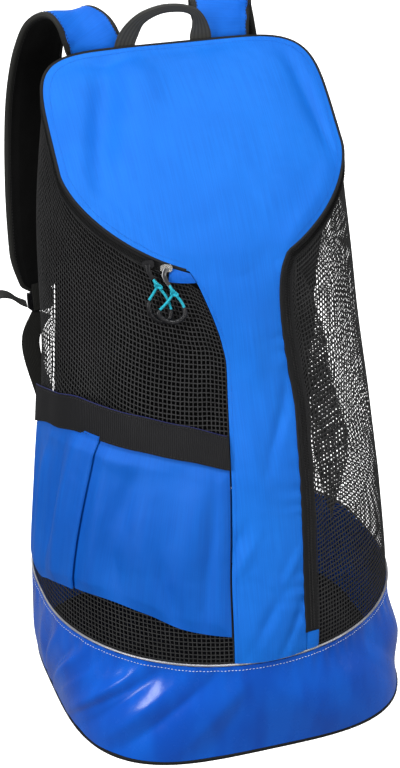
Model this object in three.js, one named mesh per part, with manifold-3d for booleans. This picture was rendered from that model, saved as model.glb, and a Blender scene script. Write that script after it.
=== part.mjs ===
// Mesh dive gear bag: a tall backpack of open net with a closed hood, standing on its coated boot.
// Millimetres, +Z up, X to the wearer's side, front towards -Y, origin on the floor under the middle.

import * as THREE from 'three';
import Module from 'manifold-3d';
import { mergeVertices } from 'three/addons/utils/BufferGeometryUtils.js';

const wasm = await Module();
wasm.setup();

// Body
const bodyHalfWidth = 225;
const bodyHalfDepth = 216;
const bootHeight = 134;
const sideHeight = 542;
const hoodCrown = 24;

// Cloth, net and padding
const clothThickness = 1.6;
const bootThickness = 2;
const netThickness = 2.4;
const strandWidth = 7;
const backPadding = 9;
const seamGap = 0.35;
const sewnGap = 0.8;
const netGap = 1.3;

// Edges and trim
const pipingRadius = 2.4;
const bindingHeight = 5;
const bindingDepth = 3.4;
const basePlateThickness = 3;
const sideZipWidth = 10;
const frontZipWidth = 17;
const cornerGap = 1.9;
const hoodBindingHeight = 11;
const hoodBindingDepth = 3;
const zipEndHeight = 24;
const garageLength = 20;
const garageWidth = 24;
const garageThickness = 1.2;
const pocketStandOff = 2.4;
const pocketFullness = 2.4;
const pleatDepth = 2.2;
const bandThickness = 2.2;

// Straps and handle
const strapWidth = 76;
const strapThickness = 12;
const webbingWidth = 25;
const webbingThickness = 2;
const handleThickness = 3;
const lockWidth = 36;
const lockHeight = 26;
const lockThickness = 5;
const lockSlots = [0.42, -0.36];
const slotHeight = 6.8;
const tailLength = 92;

// Zip pulls
const sliderLength = 14;
const sliderWidth = 9;
const sliderHeight = 4.5;
const pullerLength = 13;
const pullerWidth = 8;
const pullerThickness = 1.5;
const pullerHole = 2.7;
const pullerEye = pullerHole + 1.6 - pullerLength;
const cordRadius = 1.4;
const knotRadius = 3.4;
const gripRadius = 2.8;

// Finish of each kind of piece
const finishes = {
  hoodCloth: { color: 0x2f86ee, roughness: 0.62, metalness: 0 },
  pocketCloth: { color: 0x2a6fd6, roughness: 0.62, metalness: 0 },
  coatedCloth: { color: 0x2c5ecb, roughness: 0.34, metalness: 0 },
  net: { color: 0x2b2b2c, roughness: 0.6, metalness: 0 },
  blackWeb: { color: 0x262627, roughness: 0.75, metalness: 0 },
  blackPad: { color: 0x1c1c1e, roughness: 0.85, metalness: 0 },
  piping: { color: 0xa9aaaf, roughness: 0.4, metalness: 0 },
  plastic: { color: 0x161617, roughness: 0.4, metalness: 0 },
  metal: { color: 0x9a9ca0, roughness: 0.3, metalness: 0.9 },
  cord: { color: 0x32b9c8, roughness: 0.6, metalness: 0 },
};

// A table with a name for each column
function table(names, rows) {
  return rows.map((row) => Object.fromEntries(names.map((name, i) => [name, row[i]])));
}

// Rings of the body from the floor to the hood's edge. width is a share of bodyHalfWidth, front, back
// and middle are shares of bodyHalfDepth, boot and side are shares of the two heights, and tilt is the
// slope of the ring from front to back. The rounds are the powers of the ring's front and back curves.
const ringHeads = ['width', 'front', 'back', 'frontRound', 'backRound', 'middle', 'boot', 'side', 'tilt'];
const rings = table(ringHeads, [
  [0.978, 1.01, 0.86, 3.5, 3.2, 0, 0, 0, 0],
  [1.004, 1.02, 0.86, 2.7, 3.1, 0, 0.5, 0, 0],
  [1, 1, 0.825, 2.05, 3.2, 0, 1, 0, 0],
  [0.938, 0.907, 0.75, 2.25, 3.7, 0.046, 1, 0.25, 0.14],
  [0.884, 0.806, 0.685, 2.3, 4.4, 0.102, 1, 0.5, 0.35],
  [0.858, 0.685, 0.62, 2.1, 5, 0.213, 1, 0.75, 0.6],
  [0.789, 0.546, 0.556, 1.63, 5.9, 0.259, 1, 1, 0.87],
]);
const floorLevel = 0;
const bootLevel = 2;
const hoodLevel = 6;

// Soft folds that lean across the boot: angle and level of each middle, its half width in degrees, its
// lean in degrees for a level, and its depth as a share of bootThickness.
const bootFolds = [
  { angle: 203, level: 1.1, width: 5, lean: -16, depth: 1.6 },
  { angle: 216, level: 1.2, width: 5, lean: -14, depth: -1.3 },
  { angle: 226, level: 0.9, width: 5, lean: -15, depth: 1.5 },
  { angle: 243, level: 1.3, width: 6, lean: -10, depth: -1.2 },
  { angle: 300, level: 1.1, width: 8, lean: 9, depth: 1.1 },
  { angle: 334, level: 1.2, width: 6, lean: 10, depth: -1.3 },
];

// Edges of the front strip: the angle round the body at each level
const stripEdges = [
  { level: 2, left: 257.5, right: 281.8 },
  { level: 2.75, left: 257.5, right: 283.7 },
  { level: 3.5, left: 258.5, right: 286.1 },
  { level: 4.25, left: 259.7, right: 289 },
  { level: 4.8, left: 261, right: 292 },
  { level: 5.2, left: 261.6, right: 292.2 },
  { level: 5.42, left: 259.8, right: 292.8 },
  { level: 5.6, left: 256.8, right: 294 },
  { level: 5.76, left: 252.8, right: 296 },
  { level: 5.9, left: 248.4, right: 299.5 },
  { level: 6, left: 243.5, right: 305.5 },
];

// The pocket on the wearer's left front: level of its band's top, its band's lower edge and its own hem
const pocketEdges = [
  { angle: 158, top: 3.68, band: 3.35, hem: 2.12 },
  { angle: 174, top: 3.95, band: 3.64, hem: 2.18 },
  { angle: 186, top: 4.16, band: 3.83, hem: 2.34 },
  { angle: 203, top: 4.46, band: 4.12, hem: 2.51 },
  { angle: 219, top: 4.58, band: 4.24, hem: 2.58 },
  { angle: 230, top: 4.62, band: 4.28, hem: 2.55 },
  { angle: 242, top: 4.61, band: 4.27, hem: 2.44 },
  { angle: 261, top: 4.5, band: 4.16, hem: 2.34 },
];

// How many gaps each net has, and the lengths that its strands are spaced over
const netCells = {
  left: { count: 8, length: 420 },
  right: { count: 7, length: 370 },
  up: { count: 7, length: 450 },
};

// Middle line of a shoulder strap from its root to its lock. left and right are shares of bodyHalfWidth,
// behind of bodyHalfDepth, up of bagHeight, width of strapWidth and thick of strapThickness. The turns
// are degrees that the strap's face swings outwards.
const strapRoute = table(['left', 'right', 'behind', 'up', 'width', 'thick', 'turnLeft', 'turnRight'], [
  [0.385, 0.31, -0.031, 0.905, 0.86, 0.5, 0, 0],
  [0.387, 0.31, -0.017, 0.945, 0.86, 0.6, 0, 0],
  [0.4, 0.315, 0.004, 0.985, 0.9, 0.85, 0, 0],
  [0.455, 0.32, 0.05, 1.024, 0.97, 1, 10, 2],
  [0.54, 0.335, 0.12, 1.044, 1, 1, 24, 5],
  [0.615, 0.37, 0.205, 1.028, 1, 1, 30, 8],
  [0.66, 0.42, 0.265, 0.985, 1, 1, 26, 8],
  [0.685, 0.47, 0.3, 0.92, 1, 1, 18, 8],
  [0.697, 0.505, 0.315, 0.84, 1, 1, 12, 8],
  [0.705, 0.53, 0.305, 0.74, 1, 1, 10, 8],
  [0.705, 0.54, 0.28, 0.64, 0.97, 0.95, 10, 8],
  [0.7, 0.54, 0.25, 0.565, 0.6, 0.6, 10, 8],
]);
const webbingFoot = { turn: 6, level: 2.05 };
const webbingBow = { out: 3, behind: 12 };

// Shares of tailLength, from the lock
const tailRoute = [
  { out: 0, behind: 0, up: -0.03 },
  { out: 0.1, behind: 0.02, up: 0.02 },
  { out: 0.25, behind: 0.04, up: 0.13 },
  { out: 0.42, behind: 0.04, up: 0.15 },
  { out: 0.55, behind: 0.03, up: 0.02 },
  { out: 0.62, behind: 0.01, up: -0.27 },
];

// Middle line of the carry handle: across is a share of bodyHalfWidth, behind of bodyHalfDepth, up of
// bagHeight, and width of webbingWidth, which is folded along the middle of the grip
const handleRoute = [
  { across: -0.275, behind: 0, up: 0.973, width: 1 },
  { across: -0.26, behind: 0, up: 1.001, width: 1 },
  { across: -0.231, behind: 0.004, up: 1.019, width: 0.92 },
  { across: -0.169, behind: 0.008, up: 1.04, width: 0.6 },
  { across: -0.062, behind: 0.012, up: 1.052, width: 0.44 },
  { across: 0.027, behind: 0.012, up: 1.053, width: 0.4 },
  { across: 0.1, behind: 0.01, up: 1.049, width: 0.38 },
  { across: 0.148, behind: 0.008, up: 1.04, width: 0.5 },
  { across: 0.168, behind: 0.004, up: 1.024, width: 0.8 },
  { across: 0.173, behind: 0, up: 1.003, width: 1.1 },
  { across: 0.178, behind: 0, up: 0.973, width: 1.1 },
];

// The two zip pulls on the left zip: where the slider sits, how far it and its puller are turned in
// degrees, and the spots of the loop's knot, legs and grip, which runs from one leg's end to the other's.
// lift counts cord radii off the puller.
const zipPulls = [
  {
    name: 'left',
    finish: 'plastic',
    slider: { angle: 222.5, level: 5.945, turn: 8, pullerTurn: 12 },
    loop: {
      knot: { angle: 228, level: 5.81, lift: 0.2 },
      left: [{ angle: 226.5, level: 5.74, lift: 0.6 }, { angle: 225, level: 5.67, lift: 0.4 }],
      right: [{ angle: 232.5, level: 5.74, lift: -0.9 }, { angle: 235, level: 5.655, lift: -1.2 }],
    },
    grip: [
      { angle: 225.4, level: 5.6, lift: 0.1 },
      { angle: 227.6, level: 5.545, lift: -1 },
      { angle: 231, level: 5.53, lift: -1.6 },
      { angle: 234.4, level: 5.57, lift: -1.6 },
    ],
  },
  {
    name: 'right',
    finish: 'metal',
    slider: { angle: 231.3, level: 5.972, turn: 4, pullerTurn: -14 },
    loop: {
      knot: { angle: 235.6, level: 5.795, lift: 2 },
      left: [{ angle: 233, level: 5.71, lift: 2.6 }, { angle: 230, level: 5.625, lift: 2.6 }],
      right: [{ angle: 239, level: 5.75, lift: 1.4 }, { angle: 241, level: 5.7, lift: 1 }],
    },
    grip: [
      { angle: 229.5, level: 5.59, lift: 2.6 },
      { angle: 232.2, level: 5.553, lift: 2.6 },
      { angle: 236.8, level: 5.555, lift: 2.3 },
      { angle: 241.2, level: 5.63, lift: 1.2 },
    ],
  },
];
const pleat = { topAngle: 210.5, hemAngle: 201.5, width: 6 };

// The back corners where the net meets the padded back
const leftBackAngle = 142;
const rightBackAngle = 38;

// Smooth curve through a table's column, with no overshoot between its rows
function smooth(keys, values, key) {
  const last = keys.length - 1;
  const at = Math.min(Math.max(key, keys[0]), keys[last]);
  let row = 0;
  while (row < last - 1 && at > keys[row + 1]) row += 1;
  const rise = (k) => (values[k + 1] - values[k]) / (keys[k + 1] - keys[k]);
  const slope = (k) => {
    if (k === 0) return rise(0);
    if (k === last) return rise(last - 1);
    const before = rise(k - 1);
    const after = rise(k);
    return before * after <= 0 ? 0 : (2 * before * after) / (before + after);
  };
  const span = keys[row + 1] - keys[row];
  const t = (at - keys[row]) / span;
  const startWeight = (1 + 2 * t) * (1 - t) ** 2;
  const endWeight = t * t * (3 - 2 * t);
  return values[row] * startWeight + values[row + 1] * endWeight
    + span * (slope(row) * t * (1 - t) ** 2 - slope(row + 1) * t * t * (1 - t));
}

const column = (rows, name) => rows.map((row) => row[name]);

// The rings' own sizes in millimetres
const ringSizes = rings.map((row, index) => ({
  level: index,
  width: bodyHalfWidth * row.width,
  front: bodyHalfDepth * row.front,
  back: bodyHalfDepth * row.back,
  frontRound: row.frontRound,
  backRound: row.backRound,
  middle: bodyHalfDepth * row.middle,
  height: bootHeight * row.boot + sideHeight * row.side,
  tilt: row.tilt,
}));
const ringNames = Object.keys(ringSizes[0]);
const ringColumns = Object.fromEntries(ringNames.map((name) => [name, column(ringSizes, name)]));

function ringAt(level) {
  const value = (name) => smooth(ringColumns.level, ringColumns[name], level);
  return Object.fromEntries(ringNames.map((name) => [name, value(name)]));
}

const hoodRing = ringAt(hoodLevel);
const bagHeight = hoodRing.height + hoodRing.tilt * hoodRing.back;

const radians = (degrees) => degrees * Math.PI / 180;

// A point of the body's skin, by its angle round the bag and its level
function skin(angle, level) {
  const ring = ringAt(level);
  const cos = Math.cos(radians(angle));
  const sin = Math.sin(radians(angle));
  const round = sin < 0 ? ring.frontRound : ring.backRound;
  const depth = sin < 0 ? ring.front : ring.back;
  const radius = (Math.abs(cos / ring.width) ** round + Math.abs(sin / depth) ** round) ** (-1 / round);
  const y = radius * sin;
  return new THREE.Vector3(radius * cos, ring.middle + y, ring.height + ring.tilt * y);
}

const angleStep = 0.4;
const levelStep = 0.02;

// How the skin moves for one degree and for one level
function perDegree(angle, level) {
  return skin(angle + angleStep, level).sub(skin(angle - angleStep, level)).divideScalar(2 * angleStep);
}
function perLevel(angle, level) {
  const high = Math.min(level + levelStep, hoodLevel);
  const low = Math.max(level - levelStep, floorLevel);
  return skin(angle, high).sub(skin(angle, low)).divideScalar(high - low);
}
function outwards(angle, level) {
  return perDegree(angle, level).cross(perLevel(angle, level)).normalize();
}

// A point that stands off the body's skin
function bodyPoint(angle, level, off = 0) {
  return skin(angle, level).addScaledVector(outwards(angle, level), off);
}

// A spot on the skin moved by millimetres round the bag and up it
function spotMoved(spot, shift) {
  const across = perDegree(spot.angle, spot.level);
  const up = perLevel(spot.angle, spot.level);
  const aa = across.dot(across);
  const uu = up.dot(up);
  const au = across.dot(up);
  const sa = shift.dot(across);
  const su = shift.dot(up);
  const scale = aa * uu - au * au;
  return {
    angle: spot.angle + (sa * uu - su * au) / scale,
    level: spot.level + (su * aa - sa * au) / scale,
  };
}

// A line of spots moved sideways on the skin, to the right of its own direction when width is above 0
function beside(spots, width) {
  return spots.map((spot, index) => {
    const before = spots[Math.max(index - 1, 0)];
    const after = spots[Math.min(index + 1, spots.length - 1)];
    const along = skin(after.angle, after.level).sub(skin(before.angle, before.level)).normalize();
    const side = along.cross(outwards(spot.angle, spot.level));
    const reach = typeof width === 'function' ? width(index / (spots.length - 1), spot) : width;
    return spotMoved(spot, side.multiplyScalar(reach));
  });
}

const mix = (a, b, t) => a + (b - a) * t;
const steps = (from, to, count) => Array.from({ length: count + 1 }, (_, i) => mix(from, to, i / count));
const levelDrop = (angle, level, distance) => distance / perLevel(angle, level).length();

// A row of spots at even shares of a line's length
function spotAlong(spots, share) {
  const lengths = [0];
  for (let i = 1; i < spots.length; i += 1) {
    const here = skin(spots[i].angle, spots[i].level);
    lengths.push(lengths[i - 1] + here.distanceTo(skin(spots[i - 1].angle, spots[i - 1].level)));
  }
  const reach = share * lengths[lengths.length - 1];
  let i = 0;
  while (i < spots.length - 2 && lengths[i + 1] < reach) i += 1;
  const t = (reach - lengths[i]) / (lengths[i + 1] - lengths[i]);
  const between = (name) => mix(spots[i][name], spots[i + 1][name], t);
  return { angle: between('angle'), level: between('level') };
}

// A four-sided field on the skin between its bottom, top, first and last edges
function field(bottom, top, first, last) {
  return (across, up) => {
    const [low, high] = [spotAlong(bottom, across), spotAlong(top, across)];
    const [left, right] = [spotAlong(first, up), spotAlong(last, up)];
    const ends = (spots, name) => mix(spots[0][name], spots[spots.length - 1][name], across);
    const blend = (name) => mix(low[name], high[name], up) + mix(left[name], right[name], across)
      - mix(ends(bottom, name), ends(top, name), up);
    return { angle: blend('angle'), level: blend('level') };
  };
}

// An open sheet of points and triangles that is given a wall afterwards
class Sheet {
  constructor() {
    this.points = [];
    this.faces = [];
    this.known = new Map();
  }

  point(position) {
    const key = position.toArray().map((value) => Math.round(value * 1000)).join();
    if (!this.known.has(key)) {
      this.known.set(key, this.points.length);
      this.points.push(position.clone());
    }
    return this.known.get(key);
  }

  triangle(a, b, c) {
    if (a !== b && b !== c && c !== a) this.faces.push([a, b, c]);
  }

  // Adds a grid of points, leaving out the squares that open names
  grid(columns, rows, place, open = () => false) {
    const indexes = columns.map((u) => rows.map((v) => this.point(place(u, v))));
    for (let i = 0; i < columns.length - 1; i += 1) {
      for (let j = 0; j < rows.length - 1; j += 1) {
        if (!open(i, j)) {
          this.triangle(indexes[i][j], indexes[i + 1][j], indexes[i + 1][j + 1]);
          this.triangle(indexes[i][j], indexes[i + 1][j + 1], indexes[i][j + 1]);
        }
      }
    }
    return this;
  }

  // Makes the sheet a closed wall, half of it on each side
  wall(thickness) {
    const normals = this.points.map(() => new THREE.Vector3());
    this.faces.forEach(([a, b, c]) => {
      const side = this.points[b].clone().sub(this.points[a]);
      const normal = side.cross(this.points[c].clone().sub(this.points[a]));
      [a, b, c].forEach((index) => normals[index].add(normal));
    });
    normals.forEach((normal) => normal.normalize());
    const moved = (point, index, off) => point.clone().addScaledVector(normals[index], off);
    const layer = (off) => this.points.map((point, index) => moved(point, index, off));
    const vertices = [...layer(thickness / 2), ...layer(-thickness / 2)];
    const count = this.points.length;
    const edges = new Set(this.faces.flatMap(([a, b, c]) => [`${a},${b}`, `${b},${c}`, `${c},${a}`]));
    const faces = this.faces.flatMap(([a, b, c]) => [[a, b, c], [c + count, b + count, a + count]]);
    edges.forEach((edge) => {
      const [a, b] = edge.split(',').map(Number);
      if (!edges.has(`${b},${a}`)) faces.push([b, a, a + count], [b, a + count, b + count]);
    });
    return solidFrom(vertices, faces);
  }
}

// A geometry from corner points and triangles, turned so that its faces point out
function solidFrom(vertices, faces) {
  let volume = 0;
  faces.forEach(([a, b, c]) => {
    volume += vertices[a].dot(vertices[b].clone().cross(vertices[c]));
  });
  const turned = volume < 0 ? faces.map(([a, b, c]) => [a, c, b]) : faces;
  const geometry = new THREE.BufferGeometry();
  const positions = vertices.flatMap((vertex) => vertex.toArray());
  geometry.setAttribute('position', new THREE.Float32BufferAttribute(positions, 3));
  geometry.setIndex(turned.flat());
  geometry.computeVertexNormals();
  return geometry;
}

// A solid through a row of outlines with the same number of points, with flat ends or closed on itself
function loft(outlines, closed = false) {
  const size = outlines[0].length;
  const vertices = outlines.flat();
  const faces = [];
  const spans = closed ? outlines.length : outlines.length - 1;
  for (let i = 0; i < spans; i += 1) {
    const next = (i + 1) % outlines.length;
    for (let j = 0; j < size; j += 1) {
      const k = (j + 1) % size;
      const [a, b, c, d] = [i * size + j, i * size + k, next * size + k, next * size + j];
      faces.push([a, b, c], [a, c, d]);
    }
  }
  if (!closed) {
    const end = (outlines.length - 1) * size;
    for (let j = 1; j < size - 1; j += 1) {
      faces.push([0, j + 1, j], [end, end + j, end + j + 1]);
    }
  }
  return solidFrom(vertices, faces);
}

// Directions along a route, across it and through its thickness, at each of its points
function framesAlong(points, widthDirections) {
  return points.map((point, index) => {
    const after = points[Math.min(index + 1, points.length - 1)];
    const along = after.clone().sub(points[Math.max(index - 1, 0)]).normalize();
    const wish = widthDirections[index];
    const wide = wish.clone().addScaledVector(along, -wish.dot(along)).normalize();
    return { point, along, wide, thick: along.clone().cross(wide) };
  });
}

// Smooth route through a table of rows with x, y and z
function route(rows, count) {
  const spots = rows.map((row) => new THREE.Vector3(row.x, row.y, row.z));
  const curve = new THREE.CatmullRomCurve3(spots, false, 'centripetal');
  const shares = steps(0, 1, count);
  return { points: shares.map((share) => curve.getPoint(share)), shares };
}

function rowValue(rows, name, share) {
  const places = rows.map((row, index) => index / (rows.length - 1));
  return smooth(places, column(rows, name), share);
}

// A flat or padded band along a route; outline gives the section's corners as shares of its half sizes
function band(frames, width, thickness, outline) {
  return loft(frames.map((frame, index) => outline.map(([w, t]) => frame.point.clone()
    .addScaledVector(frame.wide, w * width(index) / 2)
    .addScaledVector(frame.thick, t * thickness(index) / 2))));
}

const flatOutline = [[-1, -1], [1, -1], [1, 1], [-1, 1]];
const halfPad = [[-1, -0.2], [-0.86, -1], [0, -1], [0.86, -1], [1, -0.2]];
const padOutline = [...halfPad, ...halfPad.map(([w, t]) => [-w, -t])];

// A round tube along points, its frame carried along without twist
function tube(points, radius, sides, closed = false) {
  let up = new THREE.Vector3(0, 0, 1);
  const last = points.length - 1;
  const outlines = points.map((point, index) => {
    const before = closed ? points[(index + last) % points.length] : points[Math.max(index - 1, 0)];
    const after = closed ? points[(index + 1) % points.length] : points[Math.min(index + 1, last)];
    const along = after.clone().sub(before).normalize();
    up = up.clone().addScaledVector(along, -up.dot(along)).normalize();
    const side = along.clone().cross(up);
    return Array.from({ length: sides }, (_, k) => {
      const turn = (k + 0.5) / sides * 2 * Math.PI;
      const out = side.clone().multiplyScalar(Math.cos(turn)).addScaledVector(up, Math.sin(turn));
      return point.clone().addScaledVector(out, radius);
    });
  });
  return loft(outlines, closed);
}

// Solids joined to one
function joined(geometries) {
  const solids = geometries.map((geometry) => {
    const bare = geometry.index ? geometry.clone() : mergeVertices(geometry.clone());
    bare.deleteAttribute('normal');
    bare.deleteAttribute('uv');
    const merged = mergeVertices(bare, 1e-3);
    const vertProperties = new Float32Array(merged.attributes.position.array);
    const triVerts = new Uint32Array(merged.index.array);
    return new wasm.Manifold(new wasm.Mesh({ numProp: 3, vertProperties, triVerts }));
  });
  const whole = solids.reduce((sum, solid) => sum.add(solid)).getMesh();
  const geometry = new THREE.BufferGeometry();
  geometry.setAttribute('position', new THREE.BufferAttribute(new Float32Array(whole.vertProperties), 3));
  geometry.setIndex(new THREE.BufferAttribute(new Uint32Array(whole.triVerts), 1));
  geometry.computeVertexNormals();
  return geometry;
}

const bag = new THREE.Group();
bag.name = 'mesh_dive_gear_bag';

function piece(name, geometry, finish) {
  const mesh = new THREE.Mesh(geometry, new THREE.MeshStandardMaterial(finishes[finish]));
  mesh.name = name;
  bag.add(mesh);
  return mesh;
}

// Boot: the coated lower wall, its floor, the binding at the floor and the piping at its top
function foldDepth(angle, level) {
  return bootFolds.reduce((sum, fold) => {
    const across = (angle - fold.angle - fold.lean * (level - fold.level)) / fold.width;
    const fade = Math.sin(Math.PI * Math.min(level / bootLevel, 1)) ** 0.7;
    return sum + fold.depth * bootThickness * fade * Math.exp(-across * across);
  }, 0);
}

const allRound = steps(0, 360, 64);
const levelAbove = (height) => levelDrop(270, 0.2, height);
const bootTop = bootLevel - levelDrop(270, 1.8, pipingRadius + seamGap);
const panelFoot = bootLevel + levelDrop(270, 2.2, pipingRadius + seamGap + 0.2);

function bootWall() {
  const bottom = levelAbove(bindingHeight + seamGap);
  const place = (angle, level) => bodyPoint(angle, level, foldDepth(angle, level));
  return new Sheet().grid(allRound, steps(bottom, bootTop, 4), place).wall(bootThickness);
}

function baseBinding() {
  const level = levelAbove(bindingHeight / 2);
  const middle = (angle) => skin(angle, level);
  const flatOut = (angle) => outwards(angle, level).setZ(0).normalize();
  return loft(allRound.slice(1).map((angle) => [[-1, 0], [1, 0], [1, 1], [-1, 1]].map(([w, up]) => {
    const corner = middle(angle).addScaledVector(flatOut(angle), w * bindingDepth / 2);
    return corner.setZ(up * bindingHeight);
  })), true);
}

function basePlate() {
  const level = levelAbove(bindingHeight / 2);
  const rim = (angle, z) => skin(angle, level)
    .addScaledVector(outwards(angle, level).setZ(0).normalize(), -bindingDepth / 2 - seamGap).setZ(z);
  const outline = (z) => allRound.slice(1).map((angle) => rim(angle, z));
  return loft([outline(0), outline(basePlateThickness)]);
}

function bootPiping() {
  return tube(allRound.slice(1).map((angle) => bodyPoint(angle, bootLevel, 0.6)), pipingRadius, 6, true);
}

piece('boot_wall', bootWall(), 'coatedCloth');
piece('base_panel', basePlate(), 'blackPad');
piece('base_binding', baseBinding(), 'blackWeb');
piece('boot_piping', bootPiping(), 'piping');

// Front panel: the hood and the strip that runs down from it, cut from one cloth
const edgeLevels = column(stripEdges, 'level');
const stripLeft = (level) => smooth(edgeLevels, column(stripEdges, 'left'), level);
const stripRight = (level) => smooth(edgeLevels, column(stripEdges, 'right'), level);
const hoodMiddle = new THREE.Vector3(0, hoodRing.middle, hoodRing.height);
const hoodUp = new THREE.Vector3(0, -hoodRing.tilt, 1).normalize();

function hoodPoint(angle, share) {
  const rim = skin(angle, hoodLevel).sub(hoodMiddle);
  const rise = hoodCrown * (1 - share ** 2.4);
  return hoodMiddle.clone().addScaledVector(rim, share).addScaledVector(hoodUp, rise);
}

function frontPanel() {
  const across = steps(0, 1, 6);
  const stripAngle = (share, level) => mix(stripLeft(level), stripRight(level), share);
  const levels = [...steps(panelFoot, 5.2, 9), 5.42, 5.6, 5.76, 5.9, hoodLevel];
  const round = steps(stripRight(hoodLevel) - 360, stripLeft(hoodLevel), 38);
  const shares = [1, 0.94, 0.82, 0.64, 0.42, 0.2, 0];
  const sheet = new Sheet();
  sheet.grid(across, levels, (share, level) => skin(stripAngle(share, level), level));
  sheet.grid(round, shares, (angle, share) => hoodPoint(angle, share));
  sheet.grid(across, shares, (share, reach) => hoodPoint(stripAngle(share, hoodLevel), reach));
  return sheet.wall(clothThickness);
}

piece('front_panel', frontPanel(), 'hoodCloth');

// Zips: the tape under the hood's left edge, and the one that turns down beside the strip
const rimSpots = (from, to, count) => steps(from, to, count).map((angle) => ({ angle, level: hoodLevel }));
function sideSpots(edge, from, to, count) {
  return steps(from, to, count).map((level) => ({ angle: edge(level), level }));
}

const leftRim = rimSpots(leftBackAngle, stripLeft(hoodLevel), 22);
const rightEdge = [
  ...rimSpots(rightBackAngle + 360, stripRight(hoodLevel), 14),
  ...sideSpots(stripRight, 5.97, 5.5, 6),
  ...sideSpots(stripRight, 5.35, panelFoot, 16),
];
const ramp = (value, start, end) => Math.min(1, Math.max(0, (value - start) / (end - start)));
const rightWidth = (share) => mix(sideZipWidth, frontZipWidth, ramp(share, 0.25, 0.55));
const zipFoot = panelFoot + levelDrop(282, 2.2, zipEndHeight);

function strip(inner, outer, thickness, off = 0) {
  const shares = inner.map((spot, index) => index);
  const place = (index, side) => {
    const spot = side ? outer[index] : inner[index];
    return bodyPoint(spot.angle, spot.level, off);
  };
  return new Sheet().grid(shares, [0, 1], place).wall(thickness);
}

const from = (angle, spots) => [{ angle, level: spots[0].level }, ...spots.slice(1)];
const leftTapeTop = from(leftBackAngle, beside(leftRim, cornerGap));
const leftTapeFoot = from(leftBackAngle, beside(leftRim, cornerGap + sideZipWidth));
const gapAt = (level) => mix(sewnGap, cornerGap, ramp(level, 5.5, 5.8));
const rightTapeInner = from(rightBackAngle + 360, beside(rightEdge, (share, spot) => -gapAt(spot.level)));
const pastTape = (share, spot) => -gapAt(spot.level) - rightWidth(share);
const rightTapeOuter = from(rightBackAngle + 360, beside(rightEdge, pastTape));
const tapeEnd = rightEdge.findIndex((spot) => spot.level < zipFoot);
const rightTape = strip(rightTapeInner.slice(0, tapeEnd), rightTapeOuter.slice(0, tapeEnd), clothThickness);

piece('hood_zip_left', strip(leftTapeTop, leftTapeFoot, clothThickness), 'blackWeb');
piece('front_zip_right', rightTape, 'blackWeb');

// End of the front zip, closed by a short patch of the strip's cloth
const aboveFoot = (spots) => spots.map((spot) => ({ ...spot, level: Math.max(spot.level, panelFoot) }));

function zipEndPatch() {
  const side = sideSpots(stripRight, zipFoot - levelDrop(282, 2.2, seamGap), panelFoot, 3);
  const inner = aboveFoot(beside(side, -sewnGap));
  const outer = aboveFoot(beside(side, -sewnGap - frontZipWidth));
  return strip(inner, outer, clothThickness);
}
piece('zip_end_patch', zipEndPatch(), 'hoodCloth');

// Net: open fields of strands on both sides, their gaps cut right through
function net(place, across, up) {
  const shares = ({ count, length }) => {
    const strand = strandWidth / length;
    const gap = (1 - strand * (count + 1)) / count;
    const line = (i) => Math.floor(i / 2) * (strand + gap) + (i % 2) * strand;
    return Array.from({ length: 2 * count + 2 }, (_, i) => line(i));
  };
  const cut = (i, j) => i % 2 === 1 && j % 2 === 1;
  const point = (u, v) => {
    const spot = place(u, v);
    return skin(spot.angle, spot.level);
  };
  return new Sheet().grid(shares(across), shares(up), point, cut).wall(netThickness);
}

const backEdge = (angle, top) => [
  ...steps(panelFoot, 5.6, 7).map((level) => ({ angle, level })),
  { angle: top.angle, level: top.level },
];
const footEdge = (from, to) => steps(from, to, 16).map((angle) => ({ angle, level: panelFoot }));

function netLeft() {
  const side = aboveFoot(beside(sideSpots(stripLeft, panelFoot, 5.86, 24), -sewnGap));
  const corner = side[side.length - 1];
  const rim = from(leftBackAngle, beside(leftRim, cornerGap + sideZipWidth + netGap));
  const top = [...rim.filter((spot) => spot.angle < corner.angle - 2), corner];
  const foot = footEdge(leftBackAngle, side[0].angle);
  return net(field(foot, top, backEdge(leftBackAngle, top[0]), side), netCells.left, netCells.up);
}

function netRight() {
  const reach = (share, spot) => pastTape(share, spot) - netGap;
  const outer = aboveFoot(from(rightBackAngle + 360, beside(rightEdge, reach)));
  const turn = rightEdge.findIndex((spot) => spot.level < 5.95);
  const top = outer.slice(0, turn + 1).reverse();
  const side = outer.slice(turn).reverse();
  const foot = footEdge(side[0].angle, rightBackAngle + 360);
  const back = backEdge(rightBackAngle + 360, top[top.length - 1]);
  return net(field(foot, top, side, back), netCells.right, netCells.up);
}
piece('net_left', netLeft(), 'net');
piece('net_right', netRight(), 'net');

// Padded back, between the two nets
const backTop = hoodLevel - levelDrop(90, 5.9, hoodBindingHeight + seamGap);

function backPanel() {
  const inset = 2 * sewnGap / perDegree(rightBackAngle, 4).length();
  const place = (angle, level) => bodyPoint(angle, level, netThickness / 2 - backPadding / 2);
  const angles = steps(rightBackAngle + inset, leftBackAngle - inset, 12);
  return new Sheet().grid(angles, steps(panelFoot + 0.03, backTop, 8), place).wall(backPadding);
}
piece('back_panel', backPanel(), 'blackPad');

// Binding along the hood's back edge
function hoodBinding() {
  const foot = backTop + levelDrop(90, 5.9, seamGap);
  const off = clothThickness / 2 + hoodBindingDepth / 2 + seamGap;
  const place = (angle, level) => bodyPoint(angle, level, off);
  const angles = steps(rightBackAngle, leftBackAngle, 22);
  return new Sheet().grid(angles, [foot, hoodLevel], place).wall(hoodBindingDepth);
}
piece('hood_binding', hoodBinding(), 'blackWeb');

// Pocket on the wearer's left front, with a pleat, hemmed by a wide band
const pocketAngles = column(pocketEdges, 'angle');
const pocketLevel = (name, angle) => smooth(pocketAngles, column(pocketEdges, name), angle);
const pocketFront = (level) => stripLeft(level) - 0.9;
const pocketBack = pocketAngles[0];

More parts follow.
